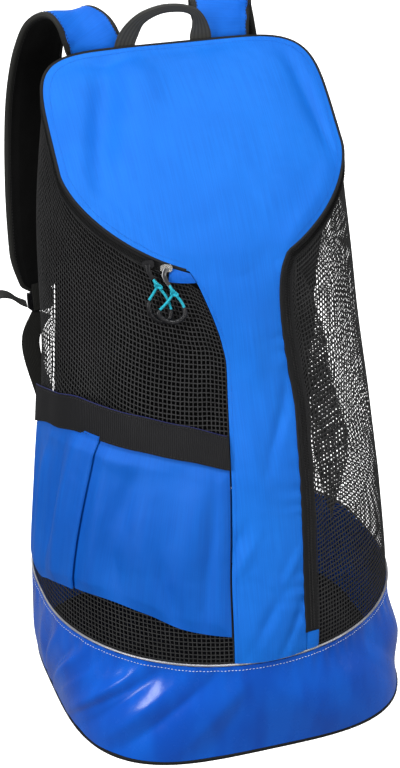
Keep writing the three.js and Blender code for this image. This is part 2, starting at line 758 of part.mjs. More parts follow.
function pocketSpot(share, up) {
  let angle = mix(pocketBack, pocketFront(3.4), share);
  const level = mix(pocketLevel('hem', angle), pocketLevel('band', angle) - 0.01, up);
  angle = mix(pocketBack, pocketFront(level), share);
  return { angle, level };
}

function pocketPanel() {
  const place = (share, up) => {
    const spot = pocketSpot(share, up);
    const line = mix(pleat.hemAngle, pleat.topAngle, up);
    const past = (spot.angle - line) / pleat.width;
    const fold = pleatDepth * Math.exp(-past * past);
    const full = pocketFullness * Math.sin(Math.PI * share) * Math.sin(Math.PI * (0.15 + 0.7 * up));
    return bodyPoint(spot.angle, spot.level, pocketStandOff + full + fold);
  };
  return new Sheet().grid(steps(0, 1, 24), steps(0, 1, 6), place).wall(clothThickness);
}

function pocketBand() {
  const place = (share, up) => {
    const angle = mix(pocketBack, pocketFront(4.3), share);
    const level = mix(pocketLevel('band', angle), pocketLevel('top', angle), up);
    return bodyPoint(angle, level, pocketStandOff + bandThickness / 2);
  };
  return new Sheet().grid(steps(0, 1, 24), [0, 1], place).wall(bandThickness);
}
piece('pocket_panel', pocketPanel(), 'pocketCloth');
piece('pocket_band', pocketBand(), 'blackWeb');

// Shoulder straps: rooted on the padded back, up over the hood's height and down behind the bag
const bindingFace = bodyPoint(90, hoodLevel, clothThickness / 2 + seamGap + hoodBindingDepth).y;
const handleBehind = bindingFace + seamGap + handleThickness / 2;
const strapBehind = handleBehind + handleThickness / 2 + seamGap + strapThickness / 2;
const strapRows = (side) => strapRoute.map((row) => ({
  ...row,
  x: side * bodyHalfWidth * (side < 0 ? row.left : row.right),
  y: strapBehind + bodyHalfDepth * row.behind,
  z: bagHeight * row.up,
}));

function strapFrames(side) {
  const rows = strapRows(side);
  const { points, shares } = route(rows, 22);
  const turns = shares.map((share) => radians(rowValue(rows, side < 0 ? 'turnLeft' : 'turnRight', share)));
  const wide = turns.map((turn) => new THREE.Vector3(Math.cos(turn), -side * Math.sin(turn), 0));
  return { frames: framesAlong(points, wide), shares, rows };
}

function strapPad(side) {
  const { frames, shares, rows } = strapFrames(side);
  const width = (index) => strapWidth * rowValue(rows, 'width', shares[index]);
  const thickness = (index) => strapThickness * rowValue(rows, 'thick', shares[index]);
  return band(frames, width, thickness, padOutline);
}

// Ladder lock at the strap's end, with its slots cut through
function ladderLock(frame) {
  const outline = new THREE.Shape();
  const [w, h] = [lockWidth / 2, lockHeight / 2];
  outline.moveTo(-w, h).lineTo(-w, -h * 0.6).lineTo(-w * 0.7, -h).lineTo(w * 0.7, -h);
  outline.lineTo(w, -h * 0.6).lineTo(w, h).closePath();
  lockSlots.forEach((place) => {
    const slot = new THREE.Path();
    const [sw, low, high] = [webbingWidth / 2 + 1, h * place - slotHeight / 2, h * place + slotHeight / 2];
    slot.moveTo(-sw, low).lineTo(-sw, high).lineTo(sw, high).lineTo(sw, low).closePath();
    outline.holes.push(slot);
  });
  const geometry = new THREE.ExtrudeGeometry(outline, { depth: lockThickness, bevelEnabled: false });
  geometry.translate(0, 0, -lockThickness / 2);
  geometry.applyMatrix4(new THREE.Matrix4().makeBasis(frame.wide, frame.along.clone().negate(), frame.thick)
    .setPosition(frame.point));
  return geometry;
}

// Webbing from the lock down to the boot's top, held on the back corner
function lowerWebbing(side, start) {
  const angle = (side < 0 ? leftBackAngle : rightBackAngle) + side * webbingFoot.turn;
  const off = netThickness + webbingThickness / 2 + seamGap;
  const bow = new THREE.Vector3(side * webbingBow.out, webbingBow.behind, 0);
  const foot = bodyPoint(angle, webbingFoot.level, off);
  const mid = bodyPoint(angle, webbingFoot.level + 0.5, off + webbingBow.out);
  const bend = start.clone().lerp(mid, 0.6).add(bow);
  const curve = new THREE.CatmullRomCurve3([start, bend, mid, foot], false, 'centripetal');
  const points = steps(0, 1, 10).map((share) => curve.getPoint(share));
  const flat = outwards(angle, webbingFoot.level).setZ(0).cross(new THREE.Vector3(0, 0, 1));
  flat.multiplyScalar(Math.sign(flat.x));
  const wide = steps(0, 1, 10).map((share) => new THREE.Vector3(1, 0, 0).lerp(flat, share));
  return band(framesAlong(points, wide), () => webbingWidth, () => webbingThickness, flatOutline);
}

// Loose end of the webbing, out of the lock
function looseEnd(side, start) {
  const place = (row) => new THREE.Vector3(side * row.out, row.behind, row.up).multiplyScalar(tailLength);
  const points = tailRoute.map((row) => start.clone().add(place(row)));
  const curve = new THREE.CatmullRomCurve3(points, false, 'centripetal');
  const stations = steps(0, 1, 8).map((share) => curve.getPoint(share));
  const wide = stations.map(() => new THREE.Vector3(0, 1, 0));
  return band(framesAlong(stations, wide), () => webbingWidth, () => webbingThickness, flatOutline);
}

[['left', -1], ['right', 1]].forEach(([name, side]) => {
  piece(`strap_pad_${name}`, strapPad(side), 'blackPad');
  const { frames } = strapFrames(side);
  const end = frames[frames.length - 1];
  const below = { ...end, point: end.point.clone().addScaledVector(end.along, lockHeight / 2 + seamGap) };
  piece(`ladder_lock_${name}`, ladderLock(below), 'plastic');
  const foot = below.point.clone().addScaledVector(end.along, lockHeight / 2 + 1.4 * webbingThickness);
  piece(`lower_webbing_${name}`, lowerWebbing(side, foot), 'blackWeb');
  const past = new THREE.Vector3(side * (lockWidth / 2 + webbingThickness / 2), 0, 0);
  piece(`webbing_end_${name}`, looseEnd(side, below.point.clone().add(past)), 'blackWeb');
});

// Carry handle between the straps
function handle() {
  const rows = handleRoute.map((row) => ({
    x: bodyHalfWidth * row.across,
    y: handleBehind + bodyHalfDepth * row.behind,
    z: bagHeight * row.up,
    width: row.width,
  }));
  const { points, shares } = route(rows, 24);
  const behind = points.map(() => new THREE.Vector3(0, 1, 0));
  const wide = framesAlong(points, behind).map((frame) => frame.thick);
  const width = (index) => webbingWidth * rowValue(rows, 'width', shares[index]);
  return band(framesAlong(points, wide), width, () => handleThickness, flatOutline);
}
piece('carry_handle', handle(), 'blackWeb');

// Zip pulls: two sliders on the left zip, their pullers, cord loops and curved grips
function facing(angle, level, off, turn = 0) {
  const up = perLevel(angle, level).normalize();
  const out = outwards(angle, level);
  const across = up.clone().cross(out).normalize();
  const frame = new THREE.Matrix4().makeBasis(across, out.clone().cross(across), out);
  frame.multiply(new THREE.Matrix4().makeRotationZ(radians(turn)));
  return frame.setPosition(bodyPoint(angle, level, off));
}

function zipSlider(spot) {
  const outline = new THREE.Shape();
  const [w, h] = [sliderLength / 2, sliderWidth / 2];
  outline.moveTo(-w, -h * 0.6).lineTo(-w * 0.4, -h).lineTo(w * 0.7, -h).lineTo(w, -h * 0.5);
  outline.lineTo(w, h * 0.5).lineTo(w * 0.7, h).lineTo(-w * 0.4, h).lineTo(-w, h * 0.6).closePath();
  const geometry = new THREE.ExtrudeGeometry(outline, { depth: sliderHeight, bevelEnabled: false });
  const off = clothThickness / 2 + seamGap;
  return geometry.applyMatrix4(facing(spot.angle, spot.level, off, spot.turn));
}

function zipPuller(spot) {
  const outline = new THREE.Shape();
  const [w, h] = [pullerWidth / 2, pullerLength];
  const eye = new THREE.Vector2(0, pullerEye);
  outline.moveTo(-w * 0.6, 0).lineTo(w * 0.6, 0).lineTo(w, -h * 0.5).lineTo(w * 0.8, -h);
  outline.lineTo(-w * 0.8, -h).lineTo(-w, -h * 0.5).closePath();
  const rimPoint = (turn) => new THREE.Vector2(-Math.sin(turn), Math.cos(turn)).multiplyScalar(pullerHole);
  const rim = steps(0, 2 * Math.PI, 8).slice(1).map((turn) => rimPoint(turn).add(eye));
  outline.holes.push(new THREE.Path(rim));
  const geometry = new THREE.ExtrudeGeometry(outline, { depth: pullerThickness, bevelEnabled: false });
  const off = clothThickness / 2 + sliderHeight + 2 * seamGap;
  return geometry.applyMatrix4(facing(spot.angle, spot.level, off, spot.pullerTurn));
}

const pullOff = clothThickness / 2 + sliderHeight + 2 * seamGap + pullerThickness / 2;
const loopPoint = ({ angle, level, lift }) => bodyPoint(angle, level, pullOff + lift * cordRadius);

function loopLegs(rows) {
  const points = (leg) => new THREE.CatmullRomCurve3([rows.knot, ...leg].map(loopPoint)).getPoints(6);
  return [points(rows.left), points(rows.right)];
}

// A cord loop: its bight through the puller's hole, its knot, and two legs that end in the grip
function cordLoop(spot, rows) {
  const hole = facing(spot.angle, spot.level, pullOff, spot.pullerTurn);
  const eye = new THREE.Vector3(0, pullerEye, 0).applyMatrix4(hole);
  const knot = loopPoint(rows.knot);
  const out = outwards(spot.angle, spot.level);
  const down = knot.clone().sub(eye);
  const bightWidth = pullerThickness / 2 + cordRadius + 5 * seamGap;
  const sideOf = (side) => new THREE.CatmullRomCurve3([
    eye.clone(),
    eye.clone().addScaledVector(out, side * bightWidth).addScaledVector(down, 0.1),
    eye.clone().addScaledVector(out, side * bightWidth).addScaledVector(down, 0.6),
    knot.clone(),
  ]);
  const bight = [...sideOf(1).getPoints(5).reverse(), ...sideOf(-1).getPoints(5).slice(1)];
  const ball = new THREE.IcosahedronGeometry(knotRadius, 1).translate(...knot.toArray());
  const tubes = [bight, ...loopLegs(rows)].map((line) => tube(line, cordRadius, 6));
  return joined([ball, ...tubes]);
}

function grip(rows, legs) {
  const [start, end] = loopLegs(legs).map((leg) => {
    const tip = leg[leg.length - 1];
    return tip.clone().addScaledVector(tip.clone().sub(leg[leg.length - 2]).normalize(), 2 * seamGap);
  });
  const points = new THREE.CatmullRomCurve3([start, ...rows.map(loopPoint), end]).getPoints(10);
  return tube(points, gripRadius, 8);
}

zipPulls.forEach((pull) => {
  piece(`zip_slider_${pull.name}`, zipSlider(pull.slider), pull.finish);
  piece(`zip_puller_${pull.name}`, zipPuller(pull.slider), pull.finish);
  piece(`pull_loop_${pull.name}`, cordLoop(pull.slider, pull.loop), 'cord');
  piece(`pull_grip_${pull.name}`, grip(pull.grip, pull.loop), 'plastic');
});

// Small gusset below the end of the left zip
function zipGarage() {
  const off = clothThickness / 2 + seamGap + garageThickness / 2;
  const corner = stripLeft(hoodLevel);
  const place = (share, up) => {
    const reach = levelDrop(corner, 5.9, garageLength * (1 - share * 0.75));
    const angle = mix(corner - garageWidth / perDegree(corner, 5.9).length(), stripLeft(5.92) - 0.6, share);
    return bodyPoint(angle, hoodLevel - levelDrop(corner, 5.9, cornerGap) - reach * (1 - up) * share, off);
  };
  return new Sheet().grid([0.15, 0.5, 1], [0, 1], place).wall(garageThickness);
}
piece('zip_garage', zipGarage(), 'hoodCloth');

export default bag;
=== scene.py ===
import math

import bpy
import numpy as np
from mathutils import Matrix, Vector


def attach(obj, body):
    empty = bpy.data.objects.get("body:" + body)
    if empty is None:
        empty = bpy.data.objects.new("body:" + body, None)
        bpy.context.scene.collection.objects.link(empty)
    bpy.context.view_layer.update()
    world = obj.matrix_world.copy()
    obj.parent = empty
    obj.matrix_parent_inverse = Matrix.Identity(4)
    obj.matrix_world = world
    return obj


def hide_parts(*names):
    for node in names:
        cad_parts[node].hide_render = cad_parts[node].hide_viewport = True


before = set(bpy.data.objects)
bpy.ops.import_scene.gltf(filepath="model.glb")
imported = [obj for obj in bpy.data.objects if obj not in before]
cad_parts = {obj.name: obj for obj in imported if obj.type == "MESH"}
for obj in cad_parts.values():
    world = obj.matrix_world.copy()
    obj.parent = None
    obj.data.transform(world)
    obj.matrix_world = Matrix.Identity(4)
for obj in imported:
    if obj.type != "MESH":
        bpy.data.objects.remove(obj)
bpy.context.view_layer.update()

# The bag's body, with the same rings, levels and edges as the solids, in metres
bag = {
    "halfWidth": 0.225, "halfDepth": 0.216, "bootHeight": 0.134, "sideHeight": 0.542, "hoodCrown": 0.024,
    "bootLevel": 2, "hoodLevel": 6, "leftBack": 142, "rightBack": 38,
}
ringHeads = ("width", "front", "back", "frontRound", "backRound", "middle", "boot", "side", "tilt")
ringRows = (
    (0.978, 1.01, 0.86, 3.5, 3.2, 0, 0, 0, 0),
    (1.004, 1.02, 0.86, 2.7, 3.1, 0, 0.5, 0, 0),
    (1, 1, 0.825, 2.05, 3.2, 0, 1, 0, 0),
    (0.938, 0.907, 0.75, 2.25, 3.7, 0.046, 1, 0.25, 0.14),
    (0.884, 0.806, 0.685, 2.3, 4.4, 0.102, 1, 0.5, 0.35),
    (0.858, 0.685, 0.62, 2.1, 5, 0.213, 1, 0.75, 0.6),
    (0.789, 0.546, 0.556, 1.63, 5.9, 0.259, 1, 1, 0.87),
)
rings = dict(zip(ringHeads, np.array(ringRows).T))
rings["width"] = rings["width"] * bag["halfWidth"]
for head in ("front", "back", "middle"):
    rings[head] = rings[head] * bag["halfDepth"]
rings["height"] = rings["boot"] * bag["bootHeight"] + rings["side"] * bag["sideHeight"]
bagHeight = rings["height"][-1] + rings["tilt"][-1] * rings["back"][-1]

seam = {"gap": 0.00035, "sewn": 0.0008, "net": 0.0013, "corner": 0.0019, "cloth": 0.0016, "netThick": 0.0024}


def smooth(keys, values, at):  # a smooth curve through a table's rows, with no overshoot
    keys = np.asarray(keys, float)
    values = np.asarray(values, float)
    rise = np.diff(values) / np.diff(keys)
    slope = np.concatenate([rise[:1], rise[1:], rise[-1:]])
    both = rise[:-1] * rise[1:] > 0
    slope[1:-1] = np.where(both, 2 * rise[:-1] * rise[1:] / np.where(both, rise[:-1] + rise[1:], 1), 0)
    at = np.clip(at, keys[0], keys[-1])
    row = np.clip(np.searchsorted(keys, at) - 1, 0, len(keys) - 2)
    span = keys[row + 1] - keys[row]
    t = (at - keys[row]) / span
    ends = values[row] * (1 + 2 * t) * (1 - t) ** 2 + values[row + 1] * t * t * (3 - 2 * t)
    return ends + span * (slope[row] * t * (1 - t) ** 2 - slope[row + 1] * t * t * (1 - t))


def skin(angle, level):  # a point of the body by its angle round the bag and its level
    angle, level = np.broadcast_arrays(np.asarray(angle, float), np.asarray(level, float))
    ring = {head: smooth(range(len(ringRows)), rings[head], level) for head in rings}
    cos, sin = np.cos(np.radians(angle)), np.sin(np.radians(angle))
    power = np.where(sin < 0, ring["frontRound"], ring["backRound"])
    depth = np.where(sin < 0, ring["front"], ring["back"])
    radius = (np.abs(cos / ring["width"]) ** power + np.abs(sin / depth) ** power) ** (-1 / power)
    y = radius * sin
    return np.stack([radius * cos, ring["middle"] + y, ring["height"] + ring["tilt"] * y], -1)


def unit(vectors):
    return vectors / np.maximum(np.linalg.norm(vectors, axis=-1, keepdims=True), 1e-12)


probe = {"degrees": 0.4, "levels": 0.02}  # steps for measuring the skin's slopes


def perDegree(angle, level):
    step = probe["degrees"]
    return (skin(np.asarray(angle) + step, level) - skin(np.asarray(angle) - step, level)) / (2 * step)


def perLevel(angle, level):
    high = np.minimum(np.asarray(level, float) + probe["levels"], bag["hoodLevel"])
    low = np.maximum(np.asarray(level, float) - probe["levels"], 0)
    return (skin(angle, high) - skin(angle, low)) / (high - low)[..., None]


def outwards(angle, level):
    return unit(np.cross(perDegree(angle, level), perLevel(angle, level)))


def bodyPoint(angle, level, off=0.0):
    return skin(angle, level) + outwards(angle, level) * np.asarray(off)[..., None]


def levelDrop(angle, level, distance):
    return distance / float(np.linalg.norm(perLevel(angle, level)))


def mix(a, b, t):
    return a + (b - a) * t


def ramp(value, start, end):
    return np.clip((value - start) / (end - start), 0, 1)


def bump(x):  # a round hill of height 1 and half width 1
    return np.exp(-x * x)


def folds(rows, across, up):  # soft folds from rows of across, up, two half widths, lean and height
    total = np.zeros(len(across))
    for middle, height, wide, high, lean, depth in rows:
        away = (across - middle - lean * (up - height)) / wide
        total += depth * bump(away) * bump((up - height) / high)
    return total


def runAlong(points, closed=False):  # a line's direction at each of its points
    ahead, behind = np.roll(points, -1, 0), np.roll(points, 1, 0)
    if not closed:
        ahead[-1], behind[0] = points[-1], points[0]
    return unit(ahead - behind)


def lengthsAlong(points):
    return np.concatenate([[0], np.cumsum(np.linalg.norm(np.diff(points, axis=0), axis=-1))])


def rowsAt(where, keys, rows):
    return np.stack([np.interp(where, keys, column) for column in rows.T], -1)


def resample(points, count):  # the same line with even steps
    length = lengthsAlong(points)
    return rowsAt(np.linspace(0, length[-1], count), length, points)


def beside(spots, width):  # spots moved sideways on the skin, to the right of their own direction
    angle, level = spots[:, 0], spots[:, 1]
    side = np.cross(runAlong(skin(angle, level)), outwards(angle, level))
    shares = np.arange(len(spots)) / (len(spots) - 1)
    reach = width(shares, level) if callable(width) else np.full(len(spots), width)
    shift = side * np.asarray(reach)[:, None]
    across, up = perDegree(angle, level), perLevel(angle, level)
    aa, uu, au = (across * across).sum(-1), (up * up).sum(-1), (across * up).sum(-1)
    sa, su = (shift * across).sum(-1), (shift * up).sum(-1)
    scale = aa * uu - au * au
    return np.stack([angle + (sa * uu - su * au) / scale, level + (su * aa - sa * au) / scale], -1)


def along(spots, share):  # the spot at a share of a line's length
    length = lengthsAlong(skin(spots[:, 0], spots[:, 1]))
    return rowsAt(np.asarray(share) * length[-1], length, spots)


def field(bottom, top, first, last):  # a four-sided field of spots between its edges
    def spot(u, v):
        u2, v2 = u[:, None], v[:, None]
        corners = mix(mix(bottom[0], bottom[-1], u2), mix(top[0], top[-1], u2), v2)
        return mix(along(bottom, u), along(top, u), v2) + mix(along(first, v), along(last, v), u2) - corners
    return spot


def curve(rows, shares):  # a smooth route through points, the same one as the solids follow
    rows = np.asarray(rows, float)
    points = np.vstack([2 * rows[0] - rows[1], rows, 2 * rows[-1] - rows[-2]])
    place = np.clip(shares, 0, 1) * (len(rows) - 1)
    i = np.minimum(place.astype(int), len(rows) - 2)
    t = (place - i)[:, None]
    p0, p1, p2, p3 = points[i], points[i + 1], points[i + 2], points[i + 3]
    d0, d1, d2 = (np.sum((b - a) ** 2, -1, keepdims=True) ** 0.25 for a, b in ((p0, p1), (p1, p2), (p2, p3)))
    start = ((p1 - p0) / d0 - (p2 - p0) / (d0 + d1) + (p2 - p1) / d1) * d1
    end = ((p2 - p1) / d1 - (p3 - p1) / (d1 + d2) + (p3 - p2) / d2) * d1
    square, cube = 3 * (p2 - p1) - 2 * start - end, 2 * (p1 - p2) + start + end
    return p1 + start * t + square * t ** 2 + cube * t ** 3


def framesAlong(points, wish):  # directions along a route, across it and through its thickness
    run = runAlong(points)
    wide = unit(wish - run * (wish * run).sum(-1, keepdims=True))
    return run, wide, np.cross(run, wide)


# Finishes: shader sums are written as expressions on sockets
class Value:
    def __init__(self, look, socket):
        self.look = look
        self.socket = socket

    def __add__(self, other):
        return self.look.sum("ADD", self, other)

    def __sub__(self, other):
        return self.look.sum("SUBTRACT", self, other)

    def __rsub__(self, other):
        return self.look.sum("SUBTRACT", other, self)

    def __mul__(self, other):
        return self.look.sum("MULTIPLY", self, other)

    __radd__ = __add__
    __rmul__ = __mul__


class Look:
    def __init__(self, name, settings):
        self.material = bpy.data.materials.new(name)
        self.material.use_nodes = True
        self.tree = self.material.node_tree
        self.shader = self.tree.nodes["Principled BSDF"]
        for socket, value in settings.items():
            self.join(self.shader.inputs[socket], value)

    def join(self, socket, value):
        if isinstance(value, Value):
            self.tree.links.new(value.socket, socket)
        elif isinstance(value, tuple) and len(value) == 3 and socket.type == "RGBA":
            socket.default_value = (*value, 1)
        else:
            socket.default_value = value

    def add(self, kind, settings, values, output=0):
        node = self.tree.nodes.new(kind)
        for name, value in settings.items():
            setattr(node, name, value)
        for socket, value in values.items():
            self.join(node.inputs[socket], value)
        return Value(self, node.outputs[output])

    def sum(self, operation, first, second=0.0):
        return self.add("ShaderNodeMath", {"operation": operation}, {0: first, 1: second})

    def size(self, value):
        return self.sum("ABSOLUTE", value)

    def wave(self, value, pitch):
        return self.sum("SINE", value * (2 * math.pi / pitch))

    def weave(self, u, v, pitch):
        return self.wave(u, pitch) * self.wave(v, pitch)

    def spread(self, value, low, high):  # 0 below low, 1 above high
        settings = {"interpolation_type": "SMOOTHSTEP"}
        return self.add("ShaderNodeMapRange", settings, {"Value": value, "From Min": low, "From Max": high})

    def uv(self):
        return self.add("ShaderNodeTexCoord", {}, {}, "UV")

    def cloth(self):  # places on the piece's own cloth, in metres
        split = self.add("ShaderNodeSeparateXYZ", {}, {0: self.uv()}, "X")
        return split, Value(self, split.socket.node.outputs["Y"])

    def place(self):
        return self.add("ShaderNodeTexCoord", {}, {}, "Object")

    def noise(self, vector, scale, detail=2.0):
        return self.add("ShaderNodeTexNoise", {}, {"Vector": vector, "Scale": scale, "Detail": detail})

    def blend(self, factor, first, second):
        return self.add("ShaderNodeMix", {"data_type": "RGBA"}, {0: factor, 6: first, 7: second}, 2)

    def relief(self, height, distance, strength, under=None):
        values = {"Height": height, "Distance": distance, "Strength": strength}
        if under:
            values["Normal"] = under
        return self.add("ShaderNodeBump", {}, values)

    def wear(self, **sockets):
        for name, value in sockets.items():
            self.join(self.shader.inputs[name.replace("_", " ")], value)
        return self.material


finishes = {  # pitches and depths in metres, noise scales for a metre
    "nylon": {"yarn": 0.0011, "depth": 0.0001, "patch": 9.0, "fold": 0.012, "creases": 42.0, "crease": 0.0012,
              "ribs": (700.0, 12.0, 1.0)},
    "lining": {"yarn": 0.0012, "depth": 0.00008, "patch": 14.0},
    "coating": {"scrim": 0.0016, "depth": 0.00005, "crumpleAndSheen": 26.0, "fold": 0.0022, "scuff": 70.0,
                "lean": (0.0, 0.0, 0.6), "stretch": (1.0, 0.35, 1.0)},
    "webbing": {"fuzz": 420.0, "depth": 0.00035},
    "ribbed": {"rib": 0.0052, "pick": 0.0018, "depth": 0.0006},
    "cordage": {"fine": 1400.0, "wide": 22.0, "depth": 0.0003},
    "spacer": {"across": 0.0042, "up": 0.0036, "depth": 0.0007},
    "braid": {"pitch": 0.0022, "lean": 0.6, "depth": 0.0003},
    "beaded": {"beads": 1600.0, "patch": 30.0, "depth": 0.0002},
    "moulded": {"grain": 1100.0, "worn": 90.0, "depth": 0.00012},
}


def nylonLook(name, colour, dark, roughness=0.55):
    own = finishes["nylon"]
    look = Look(name, {"Roughness": roughness, "Specular IOR Level": 0.16})
    u, v = look.cloth()
    weave = look.weave(u, v, own["yarn"])
    patches = look.noise(look.place(), own["patch"], 3.0)
    stretched = look.add("ShaderNodeMapping", {}, {"Vector": look.uv(), "Scale": own["ribs"]})
    ribs = look.noise(stretched, 1.0, 1.0)
    shade = look.spread(patches, 0.3, 0.72) * 0.45 + look.spread(ribs, 0.3, 0.7) * 0.45 + weave * 0.2
    body = look.blend(shade + 0.12, colour, dark)
    gloss = roughness + patches * 0.1 - 0.05
    fold = look.relief(patches, own["fold"], 0.6)
    crease = look.relief(look.noise(look.place(), own["creases"], 4.0), own["crease"], 0.5, fold)
    normal = look.relief(weave, own["depth"], 0.7, crease)
    return look.wear(Base_Color=body, Roughness=gloss, Normal=normal)


def liningLook(name, colour):  # the cloth's dark coated inside
    own = finishes["lining"]
    look = Look(name, {"Roughness": 0.6, "Specular IOR Level": 0.15})
    u, v = look.cloth()
    body = look.blend(look.noise(look.place(), own["patch"]), colour, tuple(c * 0.6 for c in colour))
    return look.wear(Base_Color=body, Normal=look.relief(look.weave(u, v, own["yarn"]), own["depth"], 0.6))


def coatingLook(name, colour, dark):
    own = finishes["coating"]
    look = Look(name, {"Specular IOR Level": 0.22, "Coat Weight": 0.26, "Coat Roughness": 0.16})
    u, v = look.cloth()
    leaning = {"Vector": look.uv(), "Rotation": own["lean"], "Scale": own["stretch"]}
    crumpleAndSheen = look.noise(look.add("ShaderNodeMapping", {}, leaning), own["crumpleAndSheen"])
    scuff = look.noise(look.place(), own["scuff"])
    # Painted sheen and shade: the coat's colour goes darker and lighter in leaning streaks with the crumple
    # noise, which also gives the crumples' bumps
    body = look.blend(look.spread(crumpleAndSheen, 0.3, 0.7) * 0.8, colour, dark)
    rough = 0.24 + look.spread(scuff, 0.45, 0.8) * 0.09
    fold = look.relief(crumpleAndSheen, own["fold"], 0.6)
    normal = look.relief(look.weave(u, v, own["scrim"]), own["depth"], 0.35, fold)
    return look.wear(Base_Color=body, Roughness=rough, Normal=normal)


def webbingLook(name, colour, light, rib=0.0021, pick=0.0009):
    own = finishes["webbing"]
    look = Look(name, {"Roughness": 0.62, "Specular IOR Level": 0.14})
    u, v = look.cloth()
    ribs = look.size(look.wave(v, rib * 2))
    picks = look.size(look.wave(u + look.wave(v, rib * 2) * (pick * 0.3), pick * 2))
    height = ribs * 0.7 + picks * 0.3
    fuzz = look.noise(look.place(), own["fuzz"], 3.0)
    body = look.blend(height * 0.75 + fuzz * 0.3 - 0.1, colour, light)
    return look.wear(Base_Color=body, Normal=look.relief(height + fuzz * 0.15, own["depth"], 0.8))


def ribbedLook(name, colour, light):  # a hem band with ribs across it
    own = finishes["ribbed"]
    look = Look(name, {"Roughness": 0.6, "Specular IOR Level": 0.14})
    u, v = look.cloth()
    ribs = look.size(look.wave(u, own["rib"]))
    picks = look.size(look.wave(v, own["pick"]))
    height = ribs * 0.75 + picks * 0.25
    body = look.blend(height, colour, light)
    return look.wear(Base_Color=body, Normal=look.relief(height, own["depth"], 0.9))


def cordageLook(name, colour, light, roughness=0.5):  # net strands and threads
    own = finishes["cordage"]
    look = Look(name, {"Roughness": roughness, "Specular IOR Level": 0.2})
    fine = look.noise(look.place(), own["fine"])
    wide = look.noise(look.place(), own["wide"])
    body = look.blend(look.spread(fine, 0.3, 0.75) * 0.7 + wide * 0.4 - 0.1, colour, light)
    return look.wear(Base_Color=body, Normal=look.relief(fine, own["depth"], 0.5))


def spacerLook(name, colour, hole):  # spacer mesh with small round holes
    own = finishes["spacer"]
    look = Look(name, {"Roughness": 0.85, "Specular IOR Level": 0.1})
    u, v = look.cloth()
    dots = look.wave(u, own["across"]) * look.wave(v + u * 0.5, own["up"])
    opened = look.spread(dots, 0.15, 0.6)
    body = look.blend(opened, colour, hole)
    return look.wear(Base_Color=body, Normal=look.relief(1 - opened, own["depth"], 0.9))


def braidLook(name, colour, dark):
    own = finishes["braid"]
    look = Look(name, {"Roughness": 0.55, "Specular IOR Level": 0.2})
    u, v = look.cloth()
    braid = look.weave(u + v * own["lean"], u - v * own["lean"], own["pitch"])
    body = look.blend(look.spread(braid, -0.6, 0.7), dark, colour)
    return look.wear(Base_Color=body, Normal=look.relief(braid, own["depth"], 0.8))


def beadedLook(name, colour, dark):  # grey reflective tape
    own = finishes["beaded"]
    look = Look(name, {"Roughness": 0.34, "Metallic": 0.45})
    beads = look.noise(look.place(), own["beads"], 1.0)
    patches = look.noise(look.place(), own["patch"])
    body = look.blend(look.spread(patches, 0.35, 0.75) * 0.6, colour, dark)
    return look.wear(Base_Color=body, Normal=look.relief(beads, own["depth"], 0.5))


def mouldedLook(name, colour, roughness=0.38, metal=0.0):
    own = finishes["moulded"]
    look = Look(name, {"Metallic": metal, "Specular IOR Level": 0.3})
    grain = look.noise(look.place(), own["grain"], 3.0)
    worn = look.noise(look.place(), own["worn"], 3.0)
    light = tuple(min(c * 1.9 + 0.02, 1) for c in colour)
    body = look.blend(look.spread(worn, 0.5, 0.85) * 0.35, colour, light)
    rough = roughness + worn * 0.16 - 0.08
    return look.wear(Base_Color=body, Roughness=rough, Normal=look.relief(grain, own["depth"], 0.4))


hoodBlue = nylonLook("hood nylon", (0.005, 0.145, 0.6), (0.0026, 0.108, 0.5))
pocketBlue = nylonLook("pocket nylon", (0.003, 0.11, 0.5), (0.002, 0.08, 0.42), 0.5)
bootBlue = coatingLook("boot coating", (0.0016, 0.094, 0.53), (0.0008, 0.056, 0.39))
lining = liningLook("dark lining", (0.004, 0.0045, 0.007))
netBlack = cordageLook("net yarn", (0.004, 0.004, 0.0042), (0.044, 0.044, 0.045), 0.7)
tapeBlack = webbingLook("zip tape", (0.003, 0.003, 0.003), (0.015, 0.015, 0.016), 0.0016, 0.0008)
bandBlack = ribbedLook("pocket band", (0.0015, 0.0015, 0.0018), (0.012, 0.012, 0.0135))
webBlack = webbingLook("black webbing", (0.007, 0.007, 0.006), (0.03, 0.03, 0.028))
handleBlack = webbingLook("handle webbing", (0.016, 0.016, 0.015), (0.05, 0.05, 0.046))
padBlack = nylonLook("pad lining", (0.003, 0.003, 0.003), (0.002, 0.002, 0.002), 0.75)
strapBlue = nylonLook("strap nylon", (0.004, 0.13, 0.6), (0.002, 0.095, 0.5))
spacerBlack = spacerLook("spacer mesh", (0.022, 0.022, 0.023), (0.003, 0.003, 0.003))
pipingGrey = beadedLook("reflective piping", (0.34, 0.34, 0.36), (0.18, 0.18, 0.2))
plasticBlack = mouldedLook("black acetal", (0.006, 0.006, 0.007))
sliderSteel = mouldedLook("nickel", (0.55, 0.54, 0.52), 0.25, 1.0)
pullerSteel = mouldedLook("dark nickel", (0.12, 0.12, 0.125), 0.3, 1.0)
coilBlack = mouldedLook("zip coil", (0.006, 0.006, 0.006), 0.42)
cordTeal = braidLook("teal cord", (0.02, 0.46, 0.58), (0.01, 0.26, 0.36))
threadWhite = cordageLook("white thread", (0.5, 0.55, 0.66), (0.75, 0.78, 0.84))
threadBlue = cordageLook("blue thread", (0.004, 0.08, 0.4), (0.01, 0.16, 0.62))
threadBlack = cordageLook("black thread", (0.008, 0.008, 0.008), (0.03, 0.03, 0.03))
navyTrim = cordageLook("navy trim", (0.004, 0.006, 0.05), (0.01, 0.014, 0.1))
print("finishes ready")


# Mesh helpers
def deselect():
    if bpy.context.mode != "OBJECT":
        bpy.ops.object.mode_set(mode="OBJECT")
    bpy.ops.object.select_all(action="DESELECT")


def choose(piece):
    deselect()
    piece.select_set(True)
    bpy.context.view_layer.objects.active = piece


def places(piece):
    points = np.empty(len(piece.data.vertices) * 3)
    piece.data.vertices.foreach_get("co", points)
    return points.reshape(-1, 3)


def movePlaces(piece, points):
    piece.data.vertices.foreach_set("co", np.ascontiguousarray(points, float).ravel())
    piece.data.update()


